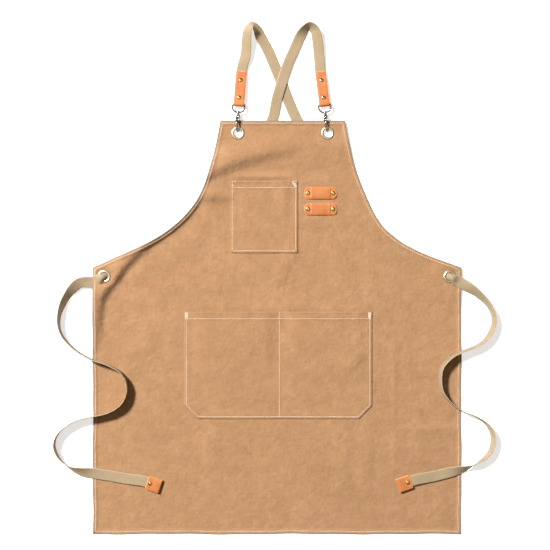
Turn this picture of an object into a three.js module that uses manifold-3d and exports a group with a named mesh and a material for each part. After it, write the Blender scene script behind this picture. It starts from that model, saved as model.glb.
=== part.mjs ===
// Canvas work apron lying on its back, bib towards +Y, front towards +Z, floor at Z 0, millimetres.
import * as THREE from 'three';
import { mergeVertices } from 'three/addons/utils/BufferGeometryUtils.js';
import Module from 'manifold-3d';

// Driving sizes
const GAP = 0.3;
const CANVAS = 1.2;
const HEM = { width: 7, step: 1.2, thick: 2.4 };
const BODY = { halfWidth: 340, waistY: 18.5, bottomY: -471, bibHalf: 115, bibY: 289, bibFlare: 0.14 };
const ARMHOLE = { upper: { x: 145, y: 84 }, lower: { x: 211, y: 61 }, hemShare: 0.06 };
const BIB_SHIFT = { x: 10.6, fromY: 39, toY: 159 };
const WAIST_SHIFT = { x: -5, fromY: 15, toY: 40 };
const WEBBING = { width: 20, thick: 1.5, bunchedWidth: 9, bunchedThick: 3 };
const LEATHER = 1.6;
const EYELET = { hole: 7, barrel: 0.8, outer: 12, flange: 0.8, washer: 10.8, bevel: 0.7, crest: 1.6 };
const BIB_EYELET = { x: 82.5, y: 266 };
const WAIST_EYELET = { x: 318.5, y: 1.5 };
const RIVET = { cap: 3.8, shank: 1.8, dome: 1.4, rim: 0.5, crown: 2.3, crownHeight: 1.2, back: 0.8 };
const CHEST_POCKET = { left: -85, right: 39, bottom: 45.5, top: 178.5, chamfer: 0, gape: 6.5, seams: [] };
const LAP_POCKET = { left: -168, right: 174, bottom: -259, top: -63, chamfer: 24, gape: 7, seams: [4.6] };
const POCKET = { seam: 4, rise: 20, hem: 13, hemThick: 2.2, climb: 90, footRows: [24, 46, 70] };
const PEN_LOOP = { left: 51, right: 110, width: 22, foot: 14, rise: 9, rivetInset: 6.5 };
const PEN_LOOP_Y = { upper: 155.5, lower: 126 };
const TAB = { length: 62, width: 19.6, rivets: [12.2, 45], endZ: 3.5 };
const TAB_FOLD = { play: 0.7, narrowFrom: 3.2, narrowTo: 8 };
const TIP = { length: 24, width: 25, rivet: 18, z: 5.4 };
const HOOK = { wire: 1.7, span: 12.2, bendAt: 17, nose: 15.6, barrel: 4.2, barrelLength: 7, rollDeg: 18 };
const HOOK_ROOT = { startAt: -4.5, startDepth: 2.6, turnAt: 0.4, straightAt: 5.5 };
const HOOK_EYE = { bar: 27.2, foot: 11, half: 12.6, corner: 2, post: 2, head: 2.7, headThick: 1.6 };
const HOOK_EYE_FOOT = { endX: 0.6, turnX: 10, turnY: 5, collar: 2.6 };
const GATE = { wire: 1.5, hingeAt: 3, hub: 2.5, pin: 1.1, halfThick: 1.5, ear: 1.2, endGap: 0.4 };
const EAR = { side: 1.8, overHead: 0.6, backInset: 1 };
const HOLE_TO_HOOK = 25.5;
const FLOOR_GAP = 0.2;
const WEBBING_END = { insideTab: 9, pastTab: 4, pastTip: 6, insideTip: 3 };
const THROUGH = 60;
const CLOTH_REACH = 14;

// How finely the shapes are divided
const ROWS = { armhole: 12, side: 7, sideCrowding: 1.3, pocketHeight: 40 };
const COLUMNS = { body: 18, pocketWidth: 45, penLoop: 12 };
const WIRE = { sides: 8, eyeSteps: 18, hookSteps: 19 };
const ROUND = { bigHole: 20, smallHole: 10, eyelet: 12, rivet: 8, pin: 10, barrel: 12, hub: 14, fold: 4 };

// Heights of the cloth where something lies under it: flat half-width, fall beside it, height
const UNDER_STRAP = { flat: 22, fall: 28, height: 2.1 };
const UNDER_LOOPS = { flat: 34, fall: 30, height: 2.1 };
const OVER_HOOKS = { flat: 36, fall: 60, height: 5 };
const AT_WAIST = { flat: 34, fall: 50, height: 5 };

// Soft folds of the lying cloth: middle, direction, half-length, half-width, height
const FOLDS = [
  { x: -205, y: 30, deg: 152, length: 120, width: 26, height: 3.2 },
  { x: -292, y: -62, deg: 70, length: 60, width: 26, height: 2.6 },
  { x: -60, y: 214, deg: 24, length: 70, width: 24, height: 2.4 },
  { x: 248, y: 20, deg: 28, length: 80, width: 24, height: 1.8 },
  { x: 205, y: -330, deg: 90, length: 110, width: 22, height: 1.2 },
  { x: -110, y: -330, deg: 86, length: 70, width: 24, height: 1.2 },
];

// Shoulder stretch of each webbing: place, height of its lower side, lean from flat, sections to next row
const SHOULDER_LEFT = [
  { x: -58, y: 411, lift: 0.6, lean: 26, steps: 3 },
  { x: -54, y: 442, lift: 0.2, lean: 38, steps: 2 },
  { x: -49.3, y: 459, lift: 0.2, lean: 56, steps: 4 },
  { x: -41, y: 467.5, lift: 0.2, lean: 90, steps: 4 },
  { x: -33.4, y: 459.5, lift: 0.2, lean: 130, steps: 3 },
  { x: -27.2, y: 444.5, lift: 0.2, lean: 165, steps: 2 },
  { x: -16.6, y: 418.5, lift: 0.2, lean: 180, steps: 3 },
  { x: 6.1, y: 365, lift: 0.2, lean: 180, steps: 3 },
];
const SHOULDER_RIGHT = [
  { x: 77.2, y: 411, lift: 0.6, lean: 26, steps: 3 },
  { x: 72.6, y: 442, lift: 0.2, lean: 38, steps: 2 },
  { x: 68.4, y: 459, lift: 0.2, lean: 56, steps: 4 },
  { x: 60.6, y: 467.5, lift: 0.2, lean: 90, steps: 4 },
  { x: 52.1, y: 459.5, lift: 0.2, lean: 130, steps: 3 },
  { x: 43.4, y: 444.5, lift: 0.2, lean: 165, steps: 2 },
  { x: 30.8, y: 417.5, lift: 1.4, lean: 180, steps: 2 },
  { x: 21.3, y: 396.5, lift: 2.3, lean: 180, steps: 2 },
  { x: 0.4, y: 331.5, lift: 2.3, lean: 180, steps: 2 },
];

// Hidden stretch behind the body, flat on the floor, from the bib's top to the waist eyelet
const BACK_LEFT = [
  { x: 37.9, y: 289 }, { x: 83, y: 226 }, { x: 133, y: 156 },
  { x: 175.5, y: 99 }, { x: 223.5, y: 58 }, { x: 268, y: 30 },
];
const BACK_RIGHT = [
  { x: -9.6, y: 289 }, { x: -40.7, y: 245 }, { x: -83, y: 206 }, { x: -118, y: 169 },
  { x: -133, y: 130 }, { x: -159, y: 88 }, { x: -207, y: 54.5 }, { x: -264, y: 27 },
];
const BACK_STEPS = 2;

// Up through the waist eyelet: distance past its middle, height, how far it is bunched, sections
const THROUGH_EYELET = [
  { along: -30, lift: 0.2, gather: 0, steps: 3 },
  { along: -9, lift: 0.2, gather: 1, steps: 2 },
  { along: -3.2, lift: 0.9, gather: 1, steps: 3 },
  { along: 3.2, lift: 7.3, gather: 1, steps: 2 },
  { along: 8.5, lift: 9, gather: 0.9, steps: 3 },
  { along: 22, lift: 8.2, gather: 0.1, steps: 3 },
];

// Free waist ties: place, height of the lower side, lean (90 stands on edge, 0 and 180 lie flat)
const TIE_RIGHT = [
  { x: 366, y: -27, lift: 4.2, lean: 156, steps: 2 },
  { x: 390, y: -52.5, lift: 0.6, lean: 122, steps: 2 },
  { x: 399, y: -78.5, lift: 0.2, lean: 104, steps: 2 },
  { x: 391.5, y: -103, lift: 0.2, lean: 104, steps: 2 },
  { x: 371.5, y: -123, lift: 1.8, lean: 97, steps: 2 },
  { x: 340, y: -136, lift: 2.9, lean: 94, steps: 2 },
  { x: 319.5, y: -147, lift: 2.9, lean: 96, steps: 2 },
  { x: 303, y: -165.5, lift: 2.2, lean: 100, steps: 2 },
  { x: 299.5, y: -186, lift: 2.2, lean: 100, steps: 2 },
  { x: 303, y: -208, lift: 2.2, lean: 97, steps: 2 },
  { x: 319.5, y: -230, lift: 2.9, lean: 92, steps: 2 },
  { x: 340, y: -245, lift: 2.9, lean: 93, steps: 2 },
  { x: 366, y: -256, lift: 1.8, lean: 97, steps: 2 },
  { x: 388, y: -272.5, lift: 0.2, lean: 104, steps: 2 },
  { x: 397.5, y: -296.5, lift: 0.2, lean: 107, steps: 2 },
  { x: 390, y: -322.5, lift: 0.2, lean: 100, steps: 2 },
  { x: 371.5, y: -339, lift: 1, lean: 90, steps: 2 },
  { x: 355, y: -347.5, lift: 2.4, lean: 68, steps: 3 },
  { x: 338, y: -353.5, lift: 2.9, lean: 34, steps: 2 },
  { x: 318, y: -359, lift: 2.9, lean: 6, steps: 2 },
  { x: 290, y: -366, lift: 2.9, lean: 0, steps: 2 },
];
const TIE_LEFT = [
  { x: -364, y: -10.5, lift: 5, lean: 160, steps: 2 },
  { x: -390, y: -41.5, lift: 0.6, lean: 122, steps: 3 },
  { x: -401, y: -75, lift: 0.2, lean: 96, steps: 2 },
  { x: -397, y: -102.5, lift: 0.2, lean: 90, steps: 2 },
  { x: -373.5, y: -130.5, lift: 1.8, lean: 90, steps: 2 },
  { x: -340, y: -150.5, lift: 2.9, lean: 90, steps: 2 },
  { x: -308.5, y: -161.5, lift: 2.9, lean: 90, steps: 2 },
  { x: -283, y: -178.5, lift: 2.2, lean: 90, steps: 2 },
  { x: -274.5, y: -204, lift: 2.2, lean: 90, steps: 2 },
  { x: -283, y: -230, lift: 2.2, lean: 90, steps: 2 },
  { x: -305, y: -246.5, lift: 2.9, lean: 92, steps: 2 },
  { x: -340, y: -256, lift: 2.9, lean: 92, steps: 2 },
  { x: -373.5, y: -265, lift: 1.8, lean: 90, steps: 2 },
  { x: -401, y: -285.5, lift: 0.2, lean: 90, steps: 2 },
  { x: -409.5, y: -307.5, lift: 0.2, lean: 90, steps: 2 },
  { x: -401, y: -331.5, lift: 0.2, lean: 88, steps: 2 },
  { x: -382.5, y: -348.5, lift: 0.8, lean: 70, steps: 3 },
  { x: -362, y: -357, lift: 2.4, lean: 34, steps: 2 },
  { x: -340, y: -360.5, lift: 2.9, lean: 8, steps: 2 },
  { x: -310, y: -365, lift: 2.9, lean: 0, steps: 2 },
  { x: -276, y: -371, lift: 3.2, lean: 0, steps: 2 },
];

// Each side of the harness: its hook and tab on the bib, its tie at the other side of the waist
const SIDES = [
  {
    side: 'left', hand: 1, shoulder: SHOULDER_LEFT, back: BACK_LEFT, tie: TIE_RIGHT,
    eyelet: { x: BIB_SHIFT.x - BIB_EYELET.x, y: BIB_EYELET.y }, hookDeg: -1.5, tabDeg: -5,
    waistX: WAIST_EYELET.x, tip: { side: 'right', x: 224, y: -383.5, backDeg: -70 },
  },
  {
    side: 'right', hand: -1, shoulder: SHOULDER_RIGHT, back: BACK_RIGHT, tie: TIE_LEFT,
    eyelet: { x: BIB_SHIFT.x + BIB_EYELET.x, y: BIB_EYELET.y }, hookDeg: 6.4, tabDeg: 6.8,
    waistX: -WAIST_EYELET.x, tip: { side: 'left', x: -216.5, y: -385, backDeg: 71 },
  },
];

// Finishes
const canvasFinish = () => new THREE.MeshStandardMaterial({ color: 0xcb9a6b, roughness: 0.95 });
const webbingFinish = () => new THREE.MeshStandardMaterial({ color: 0xcbb489, roughness: 0.9 });
const leatherFinish = () => new THREE.MeshStandardMaterial({ color: 0xdd8a50, roughness: 0.6 });
const nickelFinish = () => new THREE.MeshStandardMaterial({ color: 0xd4d6d8, roughness: 0.25, metalness: 1 });
const brassFinish = () => new THREE.MeshStandardMaterial({ color: 0xd9b56c, roughness: 0.3, metalness: 1 });

const wasm = await Module();
wasm.setup();
const deg = THREE.MathUtils.degToRad;
const { clamp, lerp, smoothstep } = THREE.MathUtils;

// Closed meshes, cuts and joins

function faceOut(points, triangles) {
  let volume = 0;
  for (const [a, b, c] of triangles) {
    volume += points[a].dot(points[b].clone().cross(points[c]));
  }
  const turned = volume < 0 ? triangles.map(([a, b, c]) => [a, c, b]) : triangles;
  const geometry = new THREE.BufferGeometry().setFromPoints(points);
  geometry.setIndex(turned.flat());
  geometry.computeVertexNormals();
  return geometry;
}

function solidOf(geometry) {
  const bare = geometry.clone();
  bare.deleteAttribute('normal');
  bare.deleteAttribute('uv');
  const merged = mergeVertices(bare, 1e-4);
  const vertProperties = new Float32Array(merged.attributes.position.array);
  const triVerts = new Uint32Array(merged.index.array);
  return new wasm.Manifold(new wasm.Mesh({ numProp: 3, vertProperties, triVerts }));
}

function geometryOf(solid) {
  const mesh = solid.getMesh();
  const geometry = new THREE.BufferGeometry();
  geometry.setAttribute('position', new THREE.BufferAttribute(new Float32Array(mesh.vertProperties), 3));
  geometry.setIndex(new THREE.BufferAttribute(new Uint32Array(mesh.triVerts), 1));
  geometry.computeVertexNormals();
  return geometry;
}

function cut(geometry, tools) {
  return geometryOf(tools.reduce((rest, tool) => rest.subtract(solidOf(tool)), solidOf(geometry)));
}

function join(geometries) {
  return geometryOf(geometries.map(solidOf).reduce((whole, next) => whole.add(next)));
}

function roundBar(radius, length, sides) {
  return new THREE.CylinderGeometry(radius, radius, length, sides);
}

function drillAlongZ(radius, sides) {
  return roundBar(radius, THROUGH, sides).rotateX(Math.PI / 2);
}

function rivetDrill() {
  return drillAlongZ(RIVET.shank + GAP, ROUND.smallHole);
}

function named(name, geometry, material) {
  const mesh = new THREE.Mesh(geometry, material);
  mesh.name = name;
  return mesh;
}

// A sheet from rows of points, each with the heights of its two faces
function sheetGeometry(rows) {
  const count = rows.length;
  const width = rows[0].length;
  const points = [];
  for (const face of ['high', 'low']) {
    for (const row of rows) {
      for (const p of row) points.push(new THREE.Vector3(p.x, p.y, p[face]));
    }
  }
  const high = (i, j) => i * width + j;
  const low = (i, j) => count * width + high(i, j);
  const triangles = [];
  for (let i = 0; i + 1 < count; i++) {
    for (let j = 0; j + 1 < width; j++) {
      triangles.push([high(i, j), high(i + 1, j), high(i + 1, j + 1)]);
      triangles.push([high(i, j), high(i + 1, j + 1), high(i, j + 1)]);
      triangles.push([low(i, j), low(i + 1, j + 1), low(i + 1, j)]);
      triangles.push([low(i, j), low(i, j + 1), low(i + 1, j + 1)]);
    }
  }
  const rim = [];
  for (let j = 0; j + 1 < width; j++) rim.push([0, j]);
  for (let i = 0; i + 1 < count; i++) rim.push([i, width - 1]);
  for (let j = width - 1; j > 0; j--) rim.push([count - 1, j]);
  for (let i = count - 1; i > 0; i--) rim.push([i, 0]);
  rim.forEach(([i, j], k) => {
    const [m, n] = rim[(k + 1) % rim.length];
    triangles.push([high(i, j), high(m, n), low(m, n)]);
    triangles.push([high(i, j), low(m, n), low(i, j)]);
  });
  return faceOut(points, triangles);
}

// A bar swept through rings of four corners
function ribbonGeometry(rings) {
  const points = rings.flat();
  const triangles = [];
  for (let i = 0; i + 1 < rings.length; i++) {
    for (let k = 0; k < 4; k++) {
      const a = 4 * i + k;
      const b = 4 * i + ((k + 1) % 4);
      triangles.push([a, b, b + 4], [a, b + 4, a + 4]);
    }
  }
  const end = 4 * (rings.length - 1);
  triangles.push([0, 2, 1], [0, 3, 2], [end, end + 1, end + 2], [end, end + 2, end + 3]);
  return faceOut(points, triangles);
}

// Round wire along a curve
function wireGeometry(curve, radius, steps) {
  const round = new THREE.Shape().absarc(0, 0, radius, 0, 2 * Math.PI);
  const options = { extrudePath: curve, steps, curveSegments: WIRE.sides / 2, bevelEnabled: false };
  return new THREE.ExtrudeGeometry(round, options);
}

// Heights of the lying cloth

function distanceToPath(x, y, path) {
  let nearest = Infinity;
  for (let i = 0; i + 1 < path.length; i++) {
    const a = path[i];
    const b = path[i + 1];
    const dx = b.x - a.x;
    const dy = b.y - a.y;
    const t = clamp(((x - a.x) * dx + (y - a.y) * dy) / (dx * dx + dy * dy), 0, 1);
    nearest = Math.min(nearest, Math.hypot(x - a.x - t * dx, y - a.y - t * dy));
  }
  return nearest;
}

function raised(distance, { flat, fall, height }) {
  return height * (1 - smoothstep(distance, flat, flat + fall));
}

const bibEyelets = SIDES.map((side) => side.eyelet);
const waistEyelets = SIDES.map((side) => ({ x: side.waistX, y: WAIST_EYELET.y }));
const loopRow = [
  { x: PEN_LOOP.left, y: (PEN_LOOP_Y.upper + PEN_LOOP_Y.lower) / 2 },
  { x: PEN_LOOP.right, y: (PEN_LOOP_Y.upper + PEN_LOOP_Y.lower) / 2 },
];

function foldLift(x, y) {
  let lift = 0;
  for (const fold of FOLDS) {
    const c = Math.cos(deg(fold.deg));
    const s = Math.sin(deg(fold.deg));
    const along = ((x - fold.x) * c + (y - fold.y) * s) / fold.length;
    const across = ((y - fold.y) * c - (x - fold.x) * s) / fold.width;
    const reach = along * along + across * across;
    if (reach < 1) lift += fold.height * (1 - reach) ** 2;
  }
  return lift;
}

function clothLift(x, y) {
  const heights = [
    foldLift(x, y),
    raised(distanceToPath(x, y, bibEyelets), OVER_HOOKS),
    raised(distanceToPath(x, y, loopRow), UNDER_LOOPS),
  ];
  for (const side of SIDES) heights.push(raised(distanceToPath(x, y, side.back), UNDER_STRAP));
  for (const eye of waistEyelets) heights.push(raised(Math.hypot(x - eye.x, y - eye.y), AT_WAIST));
  return Math.max(...heights);
}

// Highest cloth within a small reach, for what is sewn on top of it
function clothTop(x, y) {
  const shifts = [-CLOTH_REACH, 0, CLOTH_REACH];
  let highest = 0;
  for (const dx of shifts) {
    for (const dy of shifts) highest = Math.max(highest, clothLift(x + dx, y + dy));
  }
  return highest + CANVAS;
}

// Body: rows from the bib's top down the armholes and the sides to the bottom hem

function bodyEdges() {
  const armhole = new THREE.CubicBezierCurve(
    new THREE.Vector2(BODY.bibHalf, BODY.bibY),
    new THREE.Vector2(ARMHOLE.upper.x, ARMHOLE.upper.y),
    new THREE.Vector2(ARMHOLE.lower.x, ARMHOLE.lower.y),
    new THREE.Vector2(BODY.halfWidth, BODY.waistY),
  );
  const inset = HEM.width + HEM.step;
  const edges = [];
  for (const y of [BODY.bibY, BODY.bibY - HEM.width, BODY.bibY - inset]) {
    edges.push({ x: BODY.bibHalf + (BODY.bibY - y) * BODY.bibFlare, y, normal: { x: -1, y: 0 } });
  }
  for (let i = 1; i < ROWS.armhole; i++) {
    const t = armhole.getUtoTmapping(lerp(ARMHOLE.hemShare, 1, i / ROWS.armhole));
    const p = armhole.getPoint(t);
    const d = armhole.getTangent(t);
    edges.push({ x: p.x, y: p.y, normal: { x: d.y, y: -d.x } });
  }
  edges.push({ x: BODY.halfWidth, y: BODY.waistY, normal: { x: -1, y: -1 } });
  const lowest = BODY.bottomY + inset;
  for (let i = 1; i <= ROWS.side; i++) {
    const y = lerp(BODY.waistY - inset, lowest, (i / ROWS.side) ** ROWS.sideCrowding);
    edges.push({ x: BODY.halfWidth, y, normal: { x: -1, y: 0 } });
  }
  for (const y of [BODY.bottomY + HEM.width, BODY.bottomY]) {
    edges.push({ x: BODY.halfWidth, y, normal: { x: -1, y: 0 } });
  }
  return edges;
}

function bibShift(y) {
  const up = smoothstep(y, BIB_SHIFT.fromY, BIB_SHIFT.toY);
  const low = WAIST_SHIFT.x * smoothstep(y, WAIST_SHIFT.fromY, WAIST_SHIFT.toY);
  return lerp(low, BIB_SHIFT.x, up);
}

function bodyGeometry() {
  const edges = bodyEdges();
  const insets = [0, HEM.width, HEM.width + HEM.step];
  const rows = edges.map((edge, i) => {
    const line = insets.map((inset) => ({
      x: edge.x + edge.normal.x * inset,
      y: edge.y + edge.normal.y * inset,
      hemmed: inset <= HEM.width,
    }));
    const inner = line[line.length - 1];
    const middle = [];
    for (let j = 1; j < COLUMNS.body; j++) {
      middle.push({ x: inner.x * (1 - (2 * j) / COLUMNS.body), y: inner.y, hemmed: false });
    }
    const left = line.map((p) => ({ ...p, x: -p.x })).reverse();
    const hemRow = i < 2 || i >= edges.length - 2;
    return [...line, ...middle, ...left].map((p) => {
      const x = p.x + bibShift(p.y);
      const low = clothLift(x, p.y);
      return { x, y: p.y, low, high: low + (p.hemmed || hemRow ? HEM.thick : CANVAS) };
    });
  });
  const eyeletHoles = [...bibEyelets, ...waistEyelets].map((eye) =>
    drillAlongZ(EYELET.hole + EYELET.barrel + GAP, ROUND.bigHole).translate(eye.x, eye.y, 0));
  const rivetHoles = loopRivetPlaces().map((place) => rivetDrill().translate(place.x, place.y, 0));
  return cut(sheetGeometry(rows), [...eyeletHoles, ...rivetHoles]);
}

// Pockets: sewn flat at the sides, the bottom and any middle seam, standing open at the mouth

function pocketRise(x, seams) {
  const nearest = Math.min(...seams.map((seam) => Math.abs(x - seam)));
  return smoothstep(nearest, POCKET.seam, POCKET.seam + POCKET.rise);
}

function pocketColumns(pocket) {
  const seams = [pocket.left, ...pocket.seams, pocket.right];
  const columns = [];
  for (let k = 0; k + 1 < seams.length; k++) {
    const [from, to] = [seams[k], seams[k + 1]];
    const open = POCKET.seam + POCKET.rise;
    const near = [0, POCKET.seam, POCKET.seam + POCKET.rise / 2, open];
    const bays = Math.max(2, Math.round((to - from - 2 * open) / COLUMNS.pocketWidth));
    if (k === 0) columns.push(from);
    columns.push(...near.slice(1).map((d) => from + d));
    for (let j = 1; j < bays; j++) columns.push(lerp(from + open, to - open, j / bays));
    columns.push(...near.map((d) => to - d).reverse());
  }
  return columns;
}

function pocketGeometry(pocket) {
  const { left, right, bottom, top, chamfer, gape } = pocket;
  const middle = (left + right) / 2;
  const rowYs = [0, POCKET.seam, ...POCKET.footRows].map((d) => bottom + d);
  const footTop = rowYs[rowYs.length - 1];
  const bodyTop = top - POCKET.hem - HEM.step;
  const bays = Math.max(2, Math.round((bodyTop - footTop) / ROWS.pocketHeight));
  for (let i = 1; i <= bays; i++) rowYs.push(lerp(footTop, bodyTop, i / bays));
  rowYs.push(top - POCKET.hem, top);
  const columns = pocketColumns(pocket);
  const rows = rowYs.map((y) => {
    const shrink = Math.max(0, chamfer - (y - bottom)) / ((right - left) / 2);
    const rise = smoothstep(y - bottom, POCKET.seam, POCKET.climb);
    return columns.map((column) => {
      const x = middle + (column - middle) * (1 - shrink);
      const stand = gape * rise * pocketRise(column, [left, ...pocket.seams, right]);
      const low = clothTop(x, y) + GAP + stand;
      return { x, y, low, high: low + (y > bodyTop ? POCKET.hemThick : CANVAS) };
    });
  });
  return sheetGeometry(rows);
}

// Eyelet set in the cloth, its lower face at the cloth's underside
function eyeletGeometry() {
  const { hole, barrel, outer, flange, washer, bevel, crest } = EYELET;
  const top = CANVAS + GAP;
  const profile = [
    [hole, -GAP - flange], [washer, -GAP - flange], [washer, -GAP], [hole + barrel, -GAP],
    [hole + barrel, top], [outer, top], [outer - bevel, top + bevel], [hole + crest, top + flange],
    [hole, top + flange / 2], [hole, -GAP - flange],
  ].map(([r, z]) => new THREE.Vector2(r, z));
  return new THREE.LatheGeometry(profile, ROUND.eyelet).rotateX(Math.PI / 2);
}

// Rivet through a stack from its back face to its front face
function rivetGeometry(backZ, frontZ) {
  const { cap, shank, dome, rim, crown, crownHeight, back } = RIVET;
  const low = backZ - GAP;
  const high = frontZ + GAP;
  const profile = [
    [0, low - back], [cap, low - back], [cap, low], [shank, low], [shank, high], [cap, high],
    [cap, high + rim], [crown, high + crownHeight], [0, high + dome],
  ].map(([r, z]) => new THREE.Vector2(r, z));
  return new THREE.LatheGeometry(profile, ROUND.rivet).rotateX(Math.PI / 2);
}

// Leather pen loops on the bib

function loopRivetPlaces() {
  const xs = [PEN_LOOP.left + PEN_LOOP.rivetInset, PEN_LOOP.right - PEN_LOOP.rivetInset];
  return Object.values(PEN_LOOP_Y).flatMap((y) => xs.map((x) => ({ x, y })));
}

function penLoopGeometry() {
  const { left, right, width, foot, rise, rivetInset } = PEN_LOOP;
  const length = right - left;
  const under = [];
  for (let i = 0; i <= COLUMNS.penLoop; i++) {
    const share = i / COLUMNS.penLoop;
    under.push([lerp(foot, length - foot, share), (rise / 2) * (1 - Math.cos(2 * Math.PI * share))]);
  }
  const profile = new THREE.Shape();
  profile.moveTo(0, 0);
  for (const [a, z] of under) profile.lineTo(a, z);
  profile.lineTo(length, 0);
  profile.lineTo(length, LEATHER);
  for (const [a, z] of [...under].reverse()) profile.lineTo(a, z + LEATHER);
  profile.lineTo(0, LEATHER);
  const strip = new THREE.ExtrudeGeometry(profile, { depth: width, bevelEnabled: false });
  strip.rotateX(Math.PI / 2).translate(0, width / 2, 0);
  const holes = [rivetInset, length - rivetInset].map((a) => rivetDrill().translate(a, 0, 0));
  return cut(strip, holes);
}

function addPenLoops(apron) {
  const base = UNDER_LOOPS.height + CANVAS + GAP;
  for (const [row, y] of Object.entries(PEN_LOOP_Y)) {
    const loop = named(`pen_loop_${row}`, penLoopGeometry(), leatherFinish());
    loop.position.set(PEN_LOOP.left, y, base);
    apron.add(loop);
  }
  const rows = Object.keys(PEN_LOOP_Y);
  loopRivetPlaces().forEach((place, i) => {
    const end = i % 2 === 0 ? 'left' : 'right';
    const geometry = rivetGeometry(UNDER_LOOPS.height, base + LEATHER);
    const rivet = named(`loop_rivet_${rows[Math.floor(i / 2)]}_${end}`, geometry, brassFinish());
    rivet.position.set(place.x, place.y, 0);
    apron.add(rivet);
  });
}

// Leather folded back over webbing: fold at Y 0, both layers running to +Y
function foldedLeather({ length, width, foldGap, rivets }) {
  const layerGap = WEBBING.thick / 2 + GAP;
  const { narrowFrom, narrowTo } = TAB_FOLD;
  const narrowing = foldGap > layerGap ? [[narrowTo, layerGap], [narrowFrom, foldGap]] : [];
  const inside = [[length, layerGap], ...narrowing, [0, foldGap]];
  const towardsFold = inside.slice(1);
  const fromFold = [...inside].reverse().slice(1);
  const profile = new THREE.Shape();
  profile.moveTo(length, layerGap + LEATHER);
  for (const [y, z] of towardsFold) profile.lineTo(y, z + LEATHER);
  profile.absarc(0, 0, foldGap + LEATHER, Math.PI / 2, 1.5 * Math.PI, false);
  for (const [y, z] of fromFold) profile.lineTo(y, -z - LEATHER);
  for (const [y, z] of inside) profile.lineTo(y, -z);
  profile.absarc(0, 0, foldGap, 1.5 * Math.PI, Math.PI / 2, true);
  for (const [y, z] of fromFold) profile.lineTo(y, z);
  const options = { depth: width, curveSegments: ROUND.fold, bevelEnabled: false };
  const fold = new THREE.ExtrudeGeometry(profile, options);
  const turn = new THREE.Matrix4().makeBasis(
    new THREE.Vector3(0, 1, 0), new THREE.Vector3(0, 0, 1), new THREE.Vector3(1, 0, 0));
  fold.applyMatrix4(turn).translate(-width / 2, 0, 0);
  return cut(fold, rivets.map((y) => rivetDrill().translate(0, y, 0)));
}

function foldedRivet(name, y) {
  const half = WEBBING.thick / 2 + GAP + LEATHER;
  const rivet = named(name, rivetGeometry(-half, half), brassFinish());
  rivet.position.y = y;
  return rivet;
}

// Snap hook: the eye lies flat, the hook itself is turned on its swivel and reaches towards -Y

function hookEyeGeometry() {
  const { bar, foot, half, corner, post, head, headThick } = HOOK_EYE;
  const { endX, turnX, turnY, collar } = HOOK_EYE_FOOT;
  const at = (x, y) => new THREE.Vector3(x, y, 0);
  const straight = half - corner;
  const path = new THREE.CurvePath();
  path.add(new THREE.CubicBezierCurve3(
    at(endX, foot), at(turnX, foot), at(half, foot + turnY), at(half, bar - corner)));
  path.add(new THREE.QuadraticBezierCurve3(at(half, bar - corner), at(half, bar), at(straight, bar)));
  path.add(new THREE.LineCurve3(at(straight, bar), at(-straight, bar)));
  path.add(new THREE.QuadraticBezierCurve3(at(-straight, bar), at(-half, bar), at(-half, bar - corner)));
  path.add(new THREE.CubicBezierCurve3(
    at(-half, bar - corner), at(-half, foot + turnY), at(-turnX, foot), at(-endX, foot)));
  const wire = wireGeometry(path, HOOK.wire, WIRE.eyeSteps);
  const headY = -GAP - headThick;
  const shank = roundBar(post, foot - headY, ROUND.pin).translate(0, (headY + foot) / 2, 0);
  const button = roundBar(head, headThick, ROUND.pin).translate(0, headY + headThick / 2, 0);
  const knot = new THREE.SphereGeometry(collar, WIRE.sides, WIRE.sides - 2).translate(0, foot, 0);
  return join([wire, shank, button, knot]);
}

function hookBodyGeometry() {
  const { wire, span, bendAt, nose, barrel, barrelLength } = HOOK;
  const { startAt, startDepth, turnAt, straightAt } = HOOK_ROOT;
  const half = span / 2;
  const path = new THREE.CurvePath();
  const at = (s, z) => new THREE.Vector3(0, -s, z);
  path.add(new THREE.QuadraticBezierCurve3(
    at(startAt, -startDepth), at(turnAt, -half), at(straightAt, -half)));
  path.add(new THREE.LineCurve3(at(straightAt, -half), at(bendAt, -half)));
  const reach = (half * 4) / 3;
  path.add(new THREE.CubicBezierCurve3(
    at(bendAt, -half), at(bendAt + reach, -half), at(bendAt + reach, half), at(bendAt, half)));
  path.add(new THREE.LineCurve3(at(bendAt, half), at(nose, half)));
  const bow = wireGeometry(path, wire, WIRE.hookSteps);
  const tube = roundBar(barrel, barrelLength, ROUND.barrel).translate(0, barrelLength / 2, 0);
  const ear = new THREE.Shape();
  const rest = GATE.hub;
  const shoulder = HOOK_EYE.head + EAR.overHead;
  const earBack = EAR.backInset - barrelLength;
  ear.moveTo(earBack, 0);
  ear.lineTo(earBack, shoulder);
  ear.lineTo(GATE.hingeAt - rest, half + rest);
  ear.lineTo(GATE.hingeAt + rest, half + rest);
  ear.lineTo(GATE.hingeAt + rest, half - rest);
  ear.lineTo(0, shoulder);
  ear.lineTo(0, 0);
  const turn = new THREE.Matrix4().makeBasis(
    new THREE.Vector3(0, -1, 0), new THREE.Vector3(0, 0, 1), new THREE.Vector3(-1, 0, 0));
  const ears = [EAR.side + GATE.ear, -EAR.side].map((x) =>
    new THREE.ExtrudeGeometry(ear, { depth: GATE.ear, bevelEnabled: false })
      .applyMatrix4(turn).translate(x, 0, 0));
  const pin = roundBar(GATE.pin, 2 * (EAR.side + GATE.ear), ROUND.pin).rotateZ(Math.PI / 2);
  pin.translate(0, -GATE.hingeAt, half);
  const bore = roundBar(HOOK_EYE.post + GAP, 4 * barrelLength, ROUND.hub);
  const body = cut(join([bow, tube, ...ears]), [bore]);
  return join([body, pin]);
}

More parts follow.
